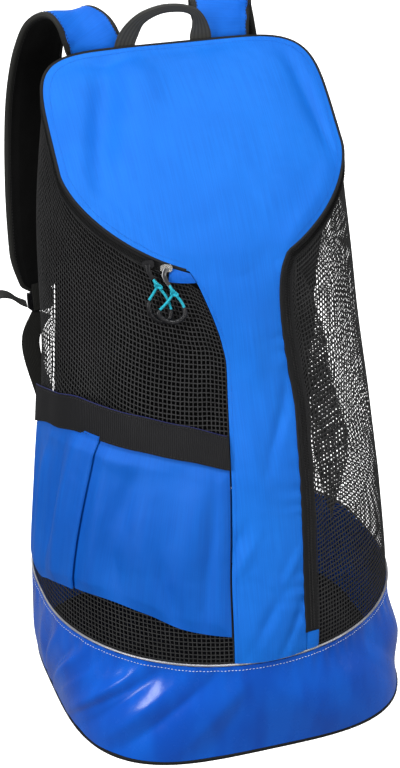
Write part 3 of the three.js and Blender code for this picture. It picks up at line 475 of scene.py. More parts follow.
def faceCentres(piece):
    centres = np.empty(len(piece.data.polygons) * 3)
    piece.data.polygons.foreach_get("center", centres)
    return centres.reshape(-1, 3)


def clothSizes(piece, place):  # gives the piece's own UV map its real size in metres
    line, half = np.linspace(0, 1, 65), np.full(65, 0.5)
    width = np.linalg.norm(np.diff(place(line, half), axis=0), axis=-1).sum()
    height = np.linalg.norm(np.diff(place(half, line), axis=0), axis=-1).sum()
    layer = piece.data.uv_layers.active.data
    uv = np.empty(len(layer) * 2)
    layer.foreach_get("uv", uv)
    uv = uv.reshape(-1, 2) * (width, height)
    layer.foreach_set("uv", uv.ravel())


def newGrid(name, columns, rows):
    deselect()
    bpy.ops.mesh.primitive_grid_add(x_subdivisions=columns, y_subdivisions=rows, size=2)
    piece = bpy.context.active_object
    piece.name = piece.data.name = name
    return piece


def edit(piece, *jobs):  # runs edit mode jobs on everything in a piece
    choose(piece)
    bpy.ops.object.mode_set(mode="EDIT")
    bpy.ops.mesh.select_mode(type="VERT")
    for job in jobs:
        bpy.ops.mesh.select_all(action="SELECT")
        job()
    bpy.ops.object.mode_set(mode="OBJECT")


def facesOut():
    bpy.ops.mesh.normals_make_consistent(inside=False)


def weld():
    bpy.ops.mesh.remove_doubles(threshold=0.00002)


def closeEnds():
    bpy.ops.mesh.fill_holes(sides=0)


def turnTowards(piece, direction):  # flips a sheet whose faces look the other way
    if sum(face.normal.dot(Vector(direction)) * face.area for face in piece.data.polygons) < 0:
        edit(piece, bpy.ops.mesh.flip_normals)


def sheet(name, columns, rows, place):  # an open sheet laid out from a grid
    piece = newGrid(name, columns, rows)
    grid = places(piece)
    u, v = (grid[:, 0] + 1) / 2, (grid[:, 1] + 1) / 2
    movePlaces(piece, place(u, v))
    clothSizes(piece, place)
    return piece


def slab(name, columns, rows, place, looks=(0, 0, 0)):  # a closed sheet; side is 0 below and 1 above
    piece = newGrid(name, columns, rows)
    edit(piece, lambda: bpy.ops.mesh.extrude_region_move(TRANSFORM_OT_translate={"value": (0, 0, 1)}))
    level = np.round(faceCentres(piece)[:, 2] * 2).astype(int)
    piece.data.polygons.foreach_set("material_index", np.array(looks)[level])
    grid = places(piece)
    u, v, side = (grid[:, 0] + 1) / 2, (grid[:, 1] + 1) / 2, np.round(grid[:, 2])
    movePlaces(piece, place(u, v, side))
    clothSizes(piece, lambda a, b: place(a, b, np.ones(len(a))))
    edit(piece, facesOut)
    return piece


def tubing(name, columns, sides, place, closed=False):  # a grid rolled into a tube, v running round it
    piece = sheet(name, columns, sides, place)
    edit(piece, weld, facesOut if closed else closeEnds, facesOut)
    return piece


def roundTube(points, radius, columns, closed=False):  # a place function for a tube along points
    count = len(points)
    run = runAlong(points, closed)
    up = np.tile([0.0, 0.0, 1.0], (count, 1))
    if abs(run[0, 2]) > 0.95:
        up[0] = (0, 1, 0)
    for i in range(count):  # the frame is carried along without twist
        last = up[i - 1] if i else up[0]
        up[i] = unit(last - run[i] * np.dot(last, run[i]))
    side = np.cross(run, up)

    def place(u, v):
        index = np.round(u * columns).astype(int) % count
        turn = v * 2 * math.pi
        ring = side[index] * np.cos(turn)[:, None] + up[index] * np.sin(turn)[:, None]
        wide = radius(u) if callable(radius) else np.full(len(u), radius)
        return points[index] + ring * wide[:, None]
    return place


def pipe(name, line, radius, sides, closed=False):  # a round tube along a line of points
    columns = len(line) if closed else len(line) - 1
    return tubing(name, columns, sides, roundTube(line, radius, columns, closed), closed)


def thicken(piece, thickness, inner=0):
    choose(piece)
    wall = piece.modifiers.new("wall", "SOLIDIFY")
    wall.thickness = thickness
    wall.offset = 0
    wall.material_offset = inner
    bpy.ops.object.modifier_apply(modifier=wall.name)


def dress(piece, *looks, slot=None, replaces=(), angle=50):
    for look in looks:
        piece.data.materials.append(look)
    choose(piece)
    bpy.ops.object.shade_smooth_by_angle(angle=math.radians(angle))
    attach(piece, "root")
    if replaces:
        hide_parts(*replaces)
    return piece


def repeated(name, master, points, out, pitch, look, slot, lift):  # copies of one small mesh in a row
    length = lengthsAlong(points)
    count = max(int(length[-1] / pitch), 1)
    spots = (np.arange(count) + 0.5) * length[-1] / count
    middle, normal = rowsAt(spots, length, points), unit(rowsAt(spots, length, out))
    step = pitch * 0.3
    run = unit(rowsAt(spots + step, length, points) - rowsAt(spots - step, length, points))
    wide = unit(np.cross(normal, run))
    normal = np.cross(run, wide)
    base = places(master)
    basis = np.stack([run, wide, normal], 1)
    copies = (base[None] @ basis) + (middle + normal * lift)[:, None]
    faces = [tuple(face.vertices) for face in master.data.polygons]
    size = len(base)
    mesh = bpy.data.meshes.new(name)
    allFaces = [tuple(i + k * size for i in face) for k in range(count) for face in faces]
    mesh.from_pydata(copies.reshape(-1, 3).tolist(), [], allFaces)
    piece = bpy.data.objects.new(name, mesh)
    bpy.context.scene.collection.objects.link(piece)
    return dress(piece, look, slot=slot)


def remove(piece):
    bpy.data.objects.remove(piece, do_unlink=True)


def flatUv(piece, across, up):  # cloth places straight from where the piece is
    points = places(piece)
    corners = np.empty(len(piece.data.loops), int)
    piece.data.loops.foreach_get("vertex_index", corners)
    uv = np.stack([points[corners] @ np.array(across), points[corners] @ np.array(up)], -1)
    piece.data.uv_layers.active.data.foreach_set("uv", uv.ravel())


def spotsOf(angles, level):
    return np.stack(np.broadcast_arrays(np.asarray(angles, float), np.asarray(level, float)), -1)


def pinned(angle, spots):  # a row of spots that starts at the back corner
    return np.vstack([[angle, spots[0, 1]], spots[1:]])


# One stitch, copied along every seam
stitching = {"length": 0.0032, "thickness": 0.0008, "pitch": 0.0043, "lift": 0.0002}


def makeStitch(length, thickness):
    deselect()
    bpy.ops.mesh.primitive_ico_sphere_add(subdivisions=1, radius=1)
    stitch = bpy.context.active_object
    movePlaces(stitch, places(stitch) * (length / 2, thickness / 2, thickness / 2))
    return stitch


stitchMaster = makeStitch(stitching["length"], stitching["thickness"])


def stitchRow(name, points, out, look, slot):
    return repeated(name, stitchMaster, points, out, stitching["pitch"], look, slot, stitching["lift"])


def skinStitches(name, angle, level, off, look, slot):  # a seam that follows the body
    return stitchRow(name, bodyPoint(angle, level, off), outwards(angle, level), look, slot)


# Boot: coated wall with its folds and gathers, binding at the floor, piping and its seam, and the base
boot = {
    "thickness": 0.002, "gather": 0.0012, "gathers": 74, "gatherReach": 0.3, "binding": 0.005,
    "bindingDepth": 0.0034, "piping": 0.0015, "pipingOff": 0.0006, "seamDrop": 0.0062, "stitchOff": 0.0004,
    "base": 0.0028, "baseFoot": 0.0004, "footAngle": 270,
}
bootFolds = (  # angle, level, half width in degrees, lean in degrees for a level, depth
    (178, 1.3, 2.4, 4, 0.003), (183, 1.2, 2.2, 7, -0.0045), (188, 1.2, 2.2, 9, 0.005),
    (193, 1.0, 2.0, 12, -0.005), (198, 1.1, 2.2, 13, 0.0055), (203, 1.0, 2.0, 15, -0.005),
    (208, 1.3, 2.2, 15, 0.005), (212, 0.7, 2.0, 18, -0.004), (217, 1.2, 2.6, 16, 0.0055),
    (223, 1.1, 2.6, 15, -0.0045), (231, 1.1, 4.0, 15, 0.004), (239, 1.1, 3.6, 16, -0.005),
    (250, 0.9, 7.0, 14, 0.004), (262, 1.5, 6, 8, -0.0036), (284, 0.75, 15, -16, 0.006),
    (303, 1.5, 5, -14, -0.003), (317, 1.1, 6.0, -14, -0.0058), (330, 1.1, 5.0, -10, 0.003),
    (342, 1.1, 4.0, -8, -0.004), (353, 1.0, 5.0, -4, 0.0012), (20, 1.2, 5.0, 8, -0.003),
    (60, 1.0, 7.0, 2, 0.0026), (95, 1.2, 8.0, -6, -0.0026), (130, 1.0, 6.0, -8, 0.003),
    (152, 1.1, 4.0, -6, -0.003), (168, 1.1, 4.0, 2, 0.003),
)
bindingLevel = levelDrop(boot["footAngle"], 0.2, boot["binding"] / 2)
bootFoot = levelDrop(boot["footAngle"], 0.2, boot["binding"] + seam["gap"])
bootTop = bag["bootLevel"] - levelDrop(boot["footAngle"], 1.8, boot["piping"] + seam["gap"])
panelFoot = bag["bootLevel"] + levelDrop(boot["footAngle"], 2.2, boot["piping"] + seam["gap"] + 0.0002)


def bootOff(angle, level, gathered=1.0):
    angle = angle % 360
    fade = np.sin(math.pi * np.clip(level / bag["bootLevel"], 0, 1)) ** 0.9
    total = np.zeros_like(angle)
    for middle, height, width, lean, depth in bootFolds:
        away = (angle - middle - lean * (level - height) + 180) % 360 - 180
        total += depth * fade * np.exp(-np.abs(away / width) ** 1.5)
    near = bump((bootTop - level) / boot["gatherReach"])
    wander = np.sin(np.radians(angle) * 5) * 1.2 + np.sin(np.radians(angle) * 13 + 1) * 0.7
    gather = np.sin(np.radians(angle) * boot["gathers"] + wander)
    return total + gathered * boot["gather"] * near * gather * (0.6 + 0.4 * np.sin(np.radians(angle) * 9))


def makeBoot():
    def wall(u, v):
        angle, level = u * 360, mix(bootFoot, bootTop, v)
        return bodyPoint(angle, level, bootOff(angle, level))
    piece = sheet("bootWall", 420, 56, wall)
    edit(piece, weld, facesOut)
    thicken(piece, boot["thickness"], 1)
    dress(piece, bootBlue, lining, slot="boot_cloth", replaces=["boot_wall"])

    def binding(u, v):
        angle, turn = u * 360, v * 2 * math.pi
        flat = outwards(angle, bindingLevel) * (1, 1, 0)
        wide = np.sign(np.cos(turn)) * np.abs(np.cos(turn)) ** 0.6 * boot["bindingDepth"] / 2
        high = (np.sign(np.sin(turn)) * np.abs(np.sin(turn)) ** 0.6 + 1) * boot["binding"] / 2
        point = skin(angle, bindingLevel) + unit(flat) * wide[:, None]
        point[:, 2] = high
        return point
    piece = tubing("baseBinding", 300, 12, binding, closed=True)
    dress(piece, tapeBlack, slot="webbing", replaces=["base_binding"])

    ring = np.linspace(0, 360, 300, endpoint=False)
    line = bodyPoint(ring, bag["bootLevel"], boot["pipingOff"])
    piece = pipe("bootPiping", line, boot["piping"], 12, closed=True)
    dress(piece, pipingGrey, slot="piping", replaces=["boot_piping"])

    ring = np.linspace(0, 360, 721)
    level = np.full(721, bag["bootLevel"] - levelDrop(boot["footAngle"], 1.8, boot["seamDrop"]))
    off = bootOff(ring, level, 0.3) + boot["thickness"] / 2 + boot["stitchOff"]
    skinStitches("bootStitches", ring, level, off, threadWhite, "boot_cloth")


def makeBase():
    def panel(u, v, side):
        x, y = 2 * u - 1, 2 * v - 1
        angle, share = np.degrees(np.arctan2(y, x)), np.maximum(np.abs(x), np.abs(y))
        rim = skin(angle, bindingLevel)
        inset = 1 - (boot["bindingDepth"] / 2 + seam["gap"]) / np.linalg.norm(rim[:, :2], axis=-1)
        point = rim * (share * inset)[:, None]
        point[:, 2] = mix(boot["baseFoot"], boot["base"], side)
        return point
    piece = slab("basePanel", 60, 60, panel)
    dress(piece, tapeBlack, slot="webbing", replaces=["base_panel"])


makeBoot()
makeBase()
print("boot made")

# Front panel: the hood and the strip that runs down from it
stripRows = np.array((  # level, left edge, right edge, in degrees
    (2, 257.5, 281.8), (2.75, 257.5, 283.7), (3.5, 258.5, 286.1), (4.25, 259.7, 289), (4.8, 261, 292),
    (5.2, 261.6, 292.2), (5.42, 259.8, 292.8), (5.6, 256.8, 294), (5.76, 252.8, 296), (5.9, 248.4, 299.5),
    (6, 243.5, 305.5),
))
front = {
    "columns": 26, "stripRows": 150, "hoodColumns": 130, "hoodRows": 34, "bend": 0.03,
    "full": 0.005, "pucker": 0.0006, "puckers": 34, "dents": 1.6, "stripSeam": 0.048, "hoodSeam": 0.955,
}
hoodDents = (  # x, y, half size across and up, turn in degrees, height
    (-0.112, 0.1, 0.02, 0.075, -24, -0.009), (-0.155, 0.05, 0.02, 0.06, -20, 0.005),
    (-0.07, 0.12, 0.03, 0.06, -20, 0.004), (0.0, 0.08, 0.06, 0.05, 0, 0.003),
    (0.09, 0.09, 0.05, 0.06, 0, 0.002), (0.15, 0.1, 0.011, 0.06, 12, -0.005),
    (0.1, -0.045, 0.011, 0.055, -42, -0.0055), (0.075, -0.05, 0.013, 0.05, -44, 0.005),
    (0.13, -0.01, 0.014, 0.05, -36, 0.004), (0.035, -0.075, 0.016, 0.03, -20, -0.0035),
    (-0.035, -0.07, 0.03, 0.016, 20, -0.003), (-0.1, -0.005, 0.01, 0.05, 38, -0.003),
    (-0.08, -0.02, 0.01, 0.045, 40, 0.0026), (-0.13, 0.01, 0.012, 0.04, 36, 0.002),
    (0.03, 0.175, 0.08, 0.012, 4, -0.004), (-0.1, 0.165, 0.05, 0.012, -8, -0.003),
)
stripFolds = (  # share across, level, half width across, half length in levels, lean, depth
    (0.05, 3.35, 0.09, 0.22, 0.5, -0.004), (0.15, 3.15, 0.08, 0.22, 0.6, 0.003),
    (0.55, 2.65, 0.1, 0.4, 0.7, -0.0055), (0.74, 2.9, 0.09, 0.4, 0.8, 0.005),
    (0.9, 2.5, 0.07, 0.34, 0.6, -0.0045), (0.3, 4.3, 0.12, 0.5, -0.3, 0.004),
    (0.75, 4.6, 0.1, 0.4, 0.5, -0.0045), (0.45, 5.3, 0.14, 0.3, 0, 0.003),
    (0.25, 2.35, 0.12, 0.2, -0.3, 0.002),
)
hoodMiddle = np.array([0, rings["middle"][-1], rings["height"][-1]])
hoodUp = unit(np.array([0, -rings["tilt"][-1], 1.0]))


def stripLeft(level):
    return smooth(stripRows[:, 0], stripRows[:, 1], level)


def stripRight(level):
    return smooth(stripRows[:, 0], stripRows[:, 2], level)


def stripAngle(share, level):
    return mix(stripLeft(level), stripRight(level), share)


def dentAt(points):
    total = np.zeros(len(points))
    for x, y, wide, high, turn, height in hoodDents:
        c, s = math.cos(math.radians(turn)), math.sin(math.radians(turn))
        dx, dy = points[:, 0] - x, points[:, 1] - y
        total += front["dents"] * height * bump((dx * c + dy * s) / wide) * bump((dy * c - dx * s) / high)
    return total


def bendAt(angle, share):  # how the cloth rounds over from the hood to the strip
    across = (angle % 360 - stripLeft(6)) / (stripRight(6) - stripLeft(6))
    held = ramp(np.minimum(across, 1 - across), 0, 0.14)
    rim, down = skin(angle, 6), -unit(perLevel(angle, 6))
    inside = unit(hoodMiddle - rim + hoodUp * 0.03)
    return (down + inside) * (front["bend"] / 4 * held * share ** 2)[:, None]


def hoodPoint(angle, share, lift=0.0):
    rim = skin(angle, 6) - hoodMiddle
    points = hoodMiddle + rim * share[:, None]
    rise = bag["hoodCrown"] * (1 - share ** 2.4) + dentAt(points) * ramp(1 - share, 0, 0.12) + lift
    away = (1 - share) * np.linalg.norm(rim, axis=-1)
    return points + hoodUp * rise[:, None] + bendAt(angle, 1 - ramp(away, 0, front["bend"]))


def stripPoint(share, level, lift=0.0):
    angle = stripAngle(share, level)
    total = front["full"] * np.sin(math.pi * np.clip(share, 0, 1)) ** 0.8 * ramp(6 - level, 0.05, 0.5)
    total = total + folds(stripFolds, share, level) * np.sin(math.pi * share) ** 0.3
    pucker = np.sin(level * front["puckers"] + share * 5 + np.sin(level * 7) * 1.5)
    pucker = pucker * (0.6 + 0.4 * np.sin(level * 5 + 1))
    total = total + front["pucker"] * pucker * bump((1 - share) / 0.28) * ramp(5.9 - level, 0, 0.6)
    away = np.linalg.norm(skin(angle, 6) - skin(angle, level), axis=-1)
    bend = bendAt(mix(stripLeft(6), stripRight(6), share), 1 - ramp(away, 0, front["bend"]))
    return bodyPoint(angle, level, total + lift) + bend


def makeFrontPanel():
    columns = front["columns"]
    stripPart = np.linspace(stripLeft(6), stripRight(6), columns + 1)
    rest = np.linspace(stripRight(6), stripLeft(6) + 360, front["hoodColumns"] + 1)[1:]
    angles = np.concatenate([stripPart, rest])

    def hood(u, v):
        angle = np.interp(u * (len(angles) - 1), np.arange(len(angles)), angles)
        return hoodPoint(angle, 1 - v ** 1.2)

    def strip(u, v):
        return stripPoint(u, mix(panelFoot, 6, v))
    top = sheet("frontPanel", len(angles) - 1, front["hoodRows"], hood)
    lower = sheet("frontStrip", columns, front["stripRows"], strip)
    deselect()
    lower.select_set(True)
    top.select_set(True)
    bpy.context.view_layer.objects.active = top
    bpy.ops.object.join()
    edit(top, weld, facesOut)
    turnTowards(top, (0, 0, 1))
    flatUv(top, (1, 0, 0), (0, 0.45, 1))
    thicken(top, seam["cloth"], 1)
    dress(top, hoodBlue, lining, slot="hood_cloth", replaces=["front_panel"], angle=60)
    level = np.linspace(panelFoot + 0.02, 5.9, 300)
    for name, edge in (("Left", front["stripSeam"]), ("Right", 1 - front["stripSeam"])):
        share = np.full(300, edge)
        line, out = stripPoint(share, level, seam["cloth"] / 2), outwards(stripAngle(share, level), level)
        stitchRow("stripStitches" + name, line, out, threadBlue, "hood_cloth")
    angle = np.linspace(stripRight(6) - 352, stripLeft(6) - 4, 500)
    line = hoodPoint(angle, np.full(500, front["hoodSeam"]), seam["cloth"] / 2)
    stitchRow("hoodStitches", line, np.tile(hoodUp, (500, 1)), threadBlue, "hood_cloth")


makeFrontPanel()
print("front panel made")

# Zips: tapes round the hood and down beside the strip, their coils, and the patch at the end
zips = {
    "side": 0.01, "front": 0.017, "tape": 0.0014, "endHeight": 0.024, "tooth": (0.0011, 0.0036, 0.0016),
    "toothPitch": 0.0019, "coil": 0.0004, "sideCoil": (0.34, 0.66), "frontCoil": (0.36, 0.6),
    "sideSeams": (0.92,), "frontSeams": (0.06, 0.94), "rim": 0.0021, "rimOff": 0.0006, "rimShort": 2.0,
    "garageDepth": 0.017, "garageWidth": 0.024, "garageBack": 0.35, "garage": 0.0012, "patchFull": 0.0008,
    "patchAngle": 282,
}
leftRim = spotsOf(np.linspace(bag["leftBack"], stripLeft(6), 23), 6)
rightLevels = np.concatenate([np.linspace(5.97, 5.5, 7), np.linspace(5.35, panelFoot, 17)])
rightBackTurn = bag["rightBack"] + 360
rightEdge = np.vstack([
    spotsOf(np.linspace(rightBackTurn, stripRight(6), 15), 6), spotsOf(stripRight(rightLevels), rightLevels),
])
zipFoot = panelFoot + levelDrop(zips["patchAngle"], 2.2, zips["endHeight"])
cornerAngle = float(stripLeft(6))


def gapAt(level):
    return mix(seam["sewn"], seam["corner"], ramp(level, 5.5, 5.8))


def pastTape(share, level):
    return -gapAt(level) - mix(zips["side"], zips["front"], ramp(share, 0.25, 0.55))


def aboveFoot(spots):
    return np.stack([spots[:, 0], np.maximum(spots[:, 1], panelFoot)], -1)


def tape(name, inner, outer, columns, thickness, crown=0.0):
    def place(u, v, side):
        spot = mix(curve(inner, u), curve(outer, u), v[:, None])
        off = (side - 0.5) * thickness + side * crown * np.sin(math.pi * v) ** 0.6
        return bodyPoint(spot[:, 0], spot[:, 1], off)
    return slab(name, columns, 12, place)


def tapeLine(inner, outer, share, end):  # angles and levels along a zip tape
    u = np.linspace(end, 1 - end, 900)
    return mix(curve(inner, u), curve(outer, u), share).T


def coil(name, inner, outer, shares):
    long, wide, high = zips["tooth"]
    tooth = makeStitch(long, high)
    movePlaces(tooth, places(tooth) * (1, wide / high, 1))
    for row, share in enumerate(shares):
        angle, level = tapeLine(inner, outer, share, 0.004)
        line, out = bodyPoint(angle, level, zips["tape"] / 2), outwards(angle, level)
        label = name + str(row + 1)
        repeated(label, tooth, line, out, zips["toothPitch"], coilBlack, "webbing", zips["coil"])
    remove(tooth)


def tapeSeams(labels, inner, outer, shares):
    for label, share in zip(labels, shares):
        angle, level = tapeLine(inner, outer, share, 0.003)
        skinStitches(label, angle, level, zips["tape"] / 2, threadBlack, "webbing")


def makeZips():
    inner = pinned(bag["leftBack"], beside(leftRim, seam["corner"]))
    outer = pinned(bag["leftBack"], beside(leftRim, seam["corner"] + zips["side"]))
    piece = tape("hoodZipTape", inner, outer, 200, zips["tape"])
    dress(piece, tapeBlack, slot="webbing", replaces=["hood_zip_left"])
    coil("hoodZipCoil", inner, outer, zips["sideCoil"])
    tapeSeams(["hoodZipStitches"], inner, outer, zips["sideSeams"])

    inner = pinned(rightBackTurn, beside(rightEdge, lambda share, level: -gapAt(level)))
    outer = pinned(rightBackTurn, beside(rightEdge, pastTape))
    end = int(np.argmax(rightEdge[:, 1] < zipFoot))
    cut = (inner[end - 1, 1] - zipFoot) / (inner[end - 1, 1] - inner[end, 1])
    inner[end], outer[end] = mix(inner[end - 1], inner[end], cut), mix(outer[end - 1], outer[end], cut)
    end += 1
    piece = tape("frontZipTape", inner[:end], outer[:end], 340, zips["tape"])
    dress(piece, tapeBlack, slot="webbing", replaces=["front_zip_right"])
    coil("frontZipCoil", inner[:end], outer[:end], zips["frontCoil"])
    tapeSeams(["frontZipStitches1", "frontZipStitches2"], inner[:end], outer[:end], zips["frontSeams"])

    level = np.linspace(zipFoot - levelDrop(zips["patchAngle"], 2.2, seam["gap"]), panelFoot, 4)
    side = spotsOf(stripRight(level), level)
    inner = aboveFoot(beside(side, -seam["sewn"]))
    outer = aboveFoot(beside(side, -seam["sewn"] - zips["front"]))
    piece = tape("zipEndPatch", inner, outer, 20, seam["cloth"], zips["patchFull"])
    dress(piece, hoodBlue, slot="hood_cloth", replaces=["zip_end_patch"])

    level = np.linspace(zipFoot, 5.99, 200)
    rim = spotsOf(np.linspace(stripRight(6), rightBackTurn, 60)[1:], 6)
    rest = spotsOf(np.linspace(bag["rightBack"], cornerAngle - zips["rimShort"], 240)[1:], 6)
    spots = np.vstack([spotsOf(stripRight(level), level), rim, rest])
    line = resample(bodyPoint(spots[:, 0], spots[:, 1], zips["rimOff"]), 701)
    dress(pipe("zipRim", line, zips["rim"], 10), tapeBlack, slot="webbing")

    def gusset(u, v, side):
        width = zips["garageWidth"] / float(np.linalg.norm(perDegree(cornerAngle, 5.9)))
        depth = levelDrop(cornerAngle, 5.9, 1) * zips["garageDepth"] * (1 - 0.45 * u)
        level = 6 - levelDrop(cornerAngle, 5.9, seam["corner"]) - depth * (1 - v)
        angle = mix(cornerAngle - width, stripLeft(level) - zips["garageBack"], u)
        off = seam["cloth"] / 2 + seam["gap"] + side * zips["garage"] + 0.0008 * side * np.sin(math.pi * v)
        return bodyPoint(angle, level, off)
    piece = slab("zipGarage", 24, 16, gusset)
    # Painted shade: the garage wears the darker pocket nylon to look shaded beside the slider and the hood's
    # corner
    dress(piece, pocketBlue, slot="hood_cloth", replaces=["zip_garage"])


makeZips()
print("zips made")

# Nets: every cell is a real hole between yarns
netting = {
    "leftCells": 77, "stretch": 0.09, "rightCells": 92, "upCells": 85, "leftStrand": 0.24,
    "rightStrand": 0.32, "thick": 0.0004, "jitter": 0.05, "creaseDepth": 0.01, "creaseNear": 9,
    "creaseFar": 40, "sag": 0.003, "layer": 0.0022, "slip": 0.0075,
    "rightPull": (368, 26, 0.0045), "leftPull": (203, 20, 0.022),  # angle, half width and depth
}
rightCrease = np.array((  # level, angle of the fold's line, degrees that it folds back
    (3.3, 300, 0), (3.5, 299.5, 5), (3.8, 299, 13), (4.1, 299.3, 14.5), (4.4, 300, 13), (4.75, 302.5, 10.5),
    (5.1, 304.5, 9.5), (5.5, 306.5, 6.5), (5.68, 309, 3), (5.78, 311, 0),
))


def ease(x):
    return x * x * (3 - 2 * x)


def netOff(angle, level):
    sag = np.sin(np.radians(angle) * 7 + level * 1.3) * np.sin(math.pi * ramp(level, 2.05, 5.9))
    away = angle - np.interp(level, rightCrease[:, 0], rightCrease[:, 1])
    held = np.sin(math.pi * ramp(level, 2.7, 5.8)) ** 0.7
    crease = ease(ramp(away, -netting["creaseNear"], 0)) * (1 - ease(ramp(away, 0, netting["creaseFar"])))
    middle, width, depth = netting["rightPull"]
    right = np.where(angle > 300, bump((angle - middle) / width), 0)
    pulled = depth * (right * np.sin(math.pi * ramp(level, 3.2, 6.0)) ** 0.6)
    middle, width, depth = netting["leftPull"]
    left = bump((angle - middle) / width)
    pulled = pulled + depth * (left * np.sin(math.pi * ramp(level, 4.1, 6.1)) ** 0.6)
    return netting["sag"] * 0.5 * (sag - 1) - netting["creaseDepth"] * held * crease - pulled


def foldedNet(spot):  # the right net lies in a fold of three layers beside the strip
    def folded(u, v):
        start, end, level = spot(u * 0, v)[:, 0], spot(u * 0 + 1, v)[:, 0], spot(u, v)[:, 1]
        line, back = (np.interp(level, rightCrease[:, 0], rightCrease[:, column]) for column in (1, 2))
        past = u * (end - start + 2 * back) - (line - start)
        place = np.where(past < back, past, np.where(past < 2 * back, 2 * back - past, past - 2 * back))
        share = np.clip((line - start + place) / (end - start), 0, 1)
        second, third = ramp(past, back - 1, back + 1), ramp(past, 2 * back - 1, 2 * back + 1)
        depth = netting["layer"] * (second + third)
        v = np.clip(v + netting["slip"] * (second - 0.6 * third) * np.sin(math.pi * v), 0, 1)
        depth = depth * ramp(back, 0, 4) * (1 - ramp(past - 3 * back, 0, 16))
        return np.column_stack([spot(share, v), -depth])
    return folded


def makeNet(name, spot, across, strand, seed, node):
    up = netting["upCells"]
    columns, rows = 2 * across + 1, 2 * up + 1
    piece = newGrid(name, columns, rows)
    cell = ((faceCentres(piece)[:, :2] + 1) / 2 * (columns, rows)).astype(int)
    holes = (cell % 2 == 1).all(axis=1)
    piece.data.vertices.foreach_set("select", np.zeros(len(piece.data.vertices), bool))
    piece.data.edges.foreach_set("select", np.zeros(len(piece.data.edges), bool))
    piece.data.polygons.foreach_set("select", holes)
    bpy.context.tool_settings.mesh_select_mode = (False, False, True)
    bpy.ops.object.mode_set(mode="EDIT")
    bpy.ops.mesh.delete(type="FACE")
    bpy.ops.object.mode_set(mode="OBJECT")

    grid = places(piece)
    index = np.round((grid[:, :2] + 1) / 2 * (columns, rows)).astype(int)
    cells = np.array((across, up))
    share = (index // 2 + (index % 2) * strand) / (cells + strand)
    wander = np.random.default_rng(seed).uniform(-1, 1, (across + 1, up + 1, 2)) * netting["jitter"] / cells
    wander[[0, -1]] = 0
    wander[:, [0, -1]] = 0
    share = share + wander[index[:, 0] // 2, index[:, 1] // 2]
    spots = spot(share[:, 0], share[:, 1])
    layer = spots[:, 2] if spots.shape[1] > 2 else 0
    movePlaces(piece, bodyPoint(spots[:, 0], spots[:, 1], netOff(spots[:, 0], spots[:, 1]) + layer))
    edit(piece, facesOut)
    thicken(piece, netting["thick"])
    dress(piece, netBlack, slot="net", replaces=[node], angle=60)


def fine(spots):
    return curve(spots, np.linspace(0, 1, 240))


def backEdge(angle, top):
    return np.vstack([spotsOf(angle, np.linspace(panelFoot, 5.6, 8)), top])


def makeNets():
    level = np.linspace(panelFoot, 5.86, 25)
    side = aboveFoot(beside(spotsOf(stripLeft(level), level), -seam["sewn"]))
    rim = pinned(bag["leftBack"], beside(leftRim, seam["corner"] + zips["side"] + seam["net"]))
    top = np.vstack([rim[rim[:, 0] < side[-1, 0] - 2], side[-1]])
    foot = spotsOf(np.linspace(bag["leftBack"], side[0, 0], 60), panelFoot)
    spot = field(foot, fine(top), fine(backEdge(bag["leftBack"], top[0])), fine(side))

    def stretched(u, v):  # the cells are pulled wider towards the back
        return spot((u + netting["stretch"] * (1 - np.exp(-u / 0.15))) / (1 + netting["stretch"]), v)
    makeNet("netLeft", stretched, netting["leftCells"], netting["leftStrand"], 3, "net_left")

    def reach(share, level):
        return pastTape(share, level) - seam["net"]
    outer = aboveFoot(pinned(rightBackTurn, beside(rightEdge, reach)))
    turn = int(np.argmax(rightEdge[:, 1] < 5.95))
    top, side = outer[:turn + 1][::-1], outer[turn:][::-1]
    foot = spotsOf(np.linspace(side[0, 0], rightBackTurn, 60), panelFoot)
    spot = field(foot, fine(top), fine(side), fine(backEdge(rightBackTurn, top[-1])))
    makeNet("netRight", foldedNet(spot), netting["rightCells"], netting["rightStrand"], 5, "net_right")


makeNets()
print("nets made")

# Back: quilted panel between the nets, and the binding on the hood's back edge
back = {
    "padding": 0.009, "puff": 0.006, "channel": 0.0035, "edge": 0.016, "binding": 0.011,
    "bindingDepth": 0.003, "width": 0.36, "height": 0.52, "rows": (0.3, 0.62), "rowHalf": 0.016,
    "sides": (0.09, 0.91), "sideHalf": 0.012, "facing": 0.0022, "facingThick": 0.0012,
}
facingRows = np.array((  # level, angle where the dark sheet of painted shade beside the back panel ends
    (2, 34.4), (3.4, 34.4), (3.65, 31), (3.9, 31), (4.25, 28.5), (4.6, 24), (5.1, 20), (6, 20),
))
backTop = 6 - levelDrop(90, 5.9, back["binding"] + seam["gap"])


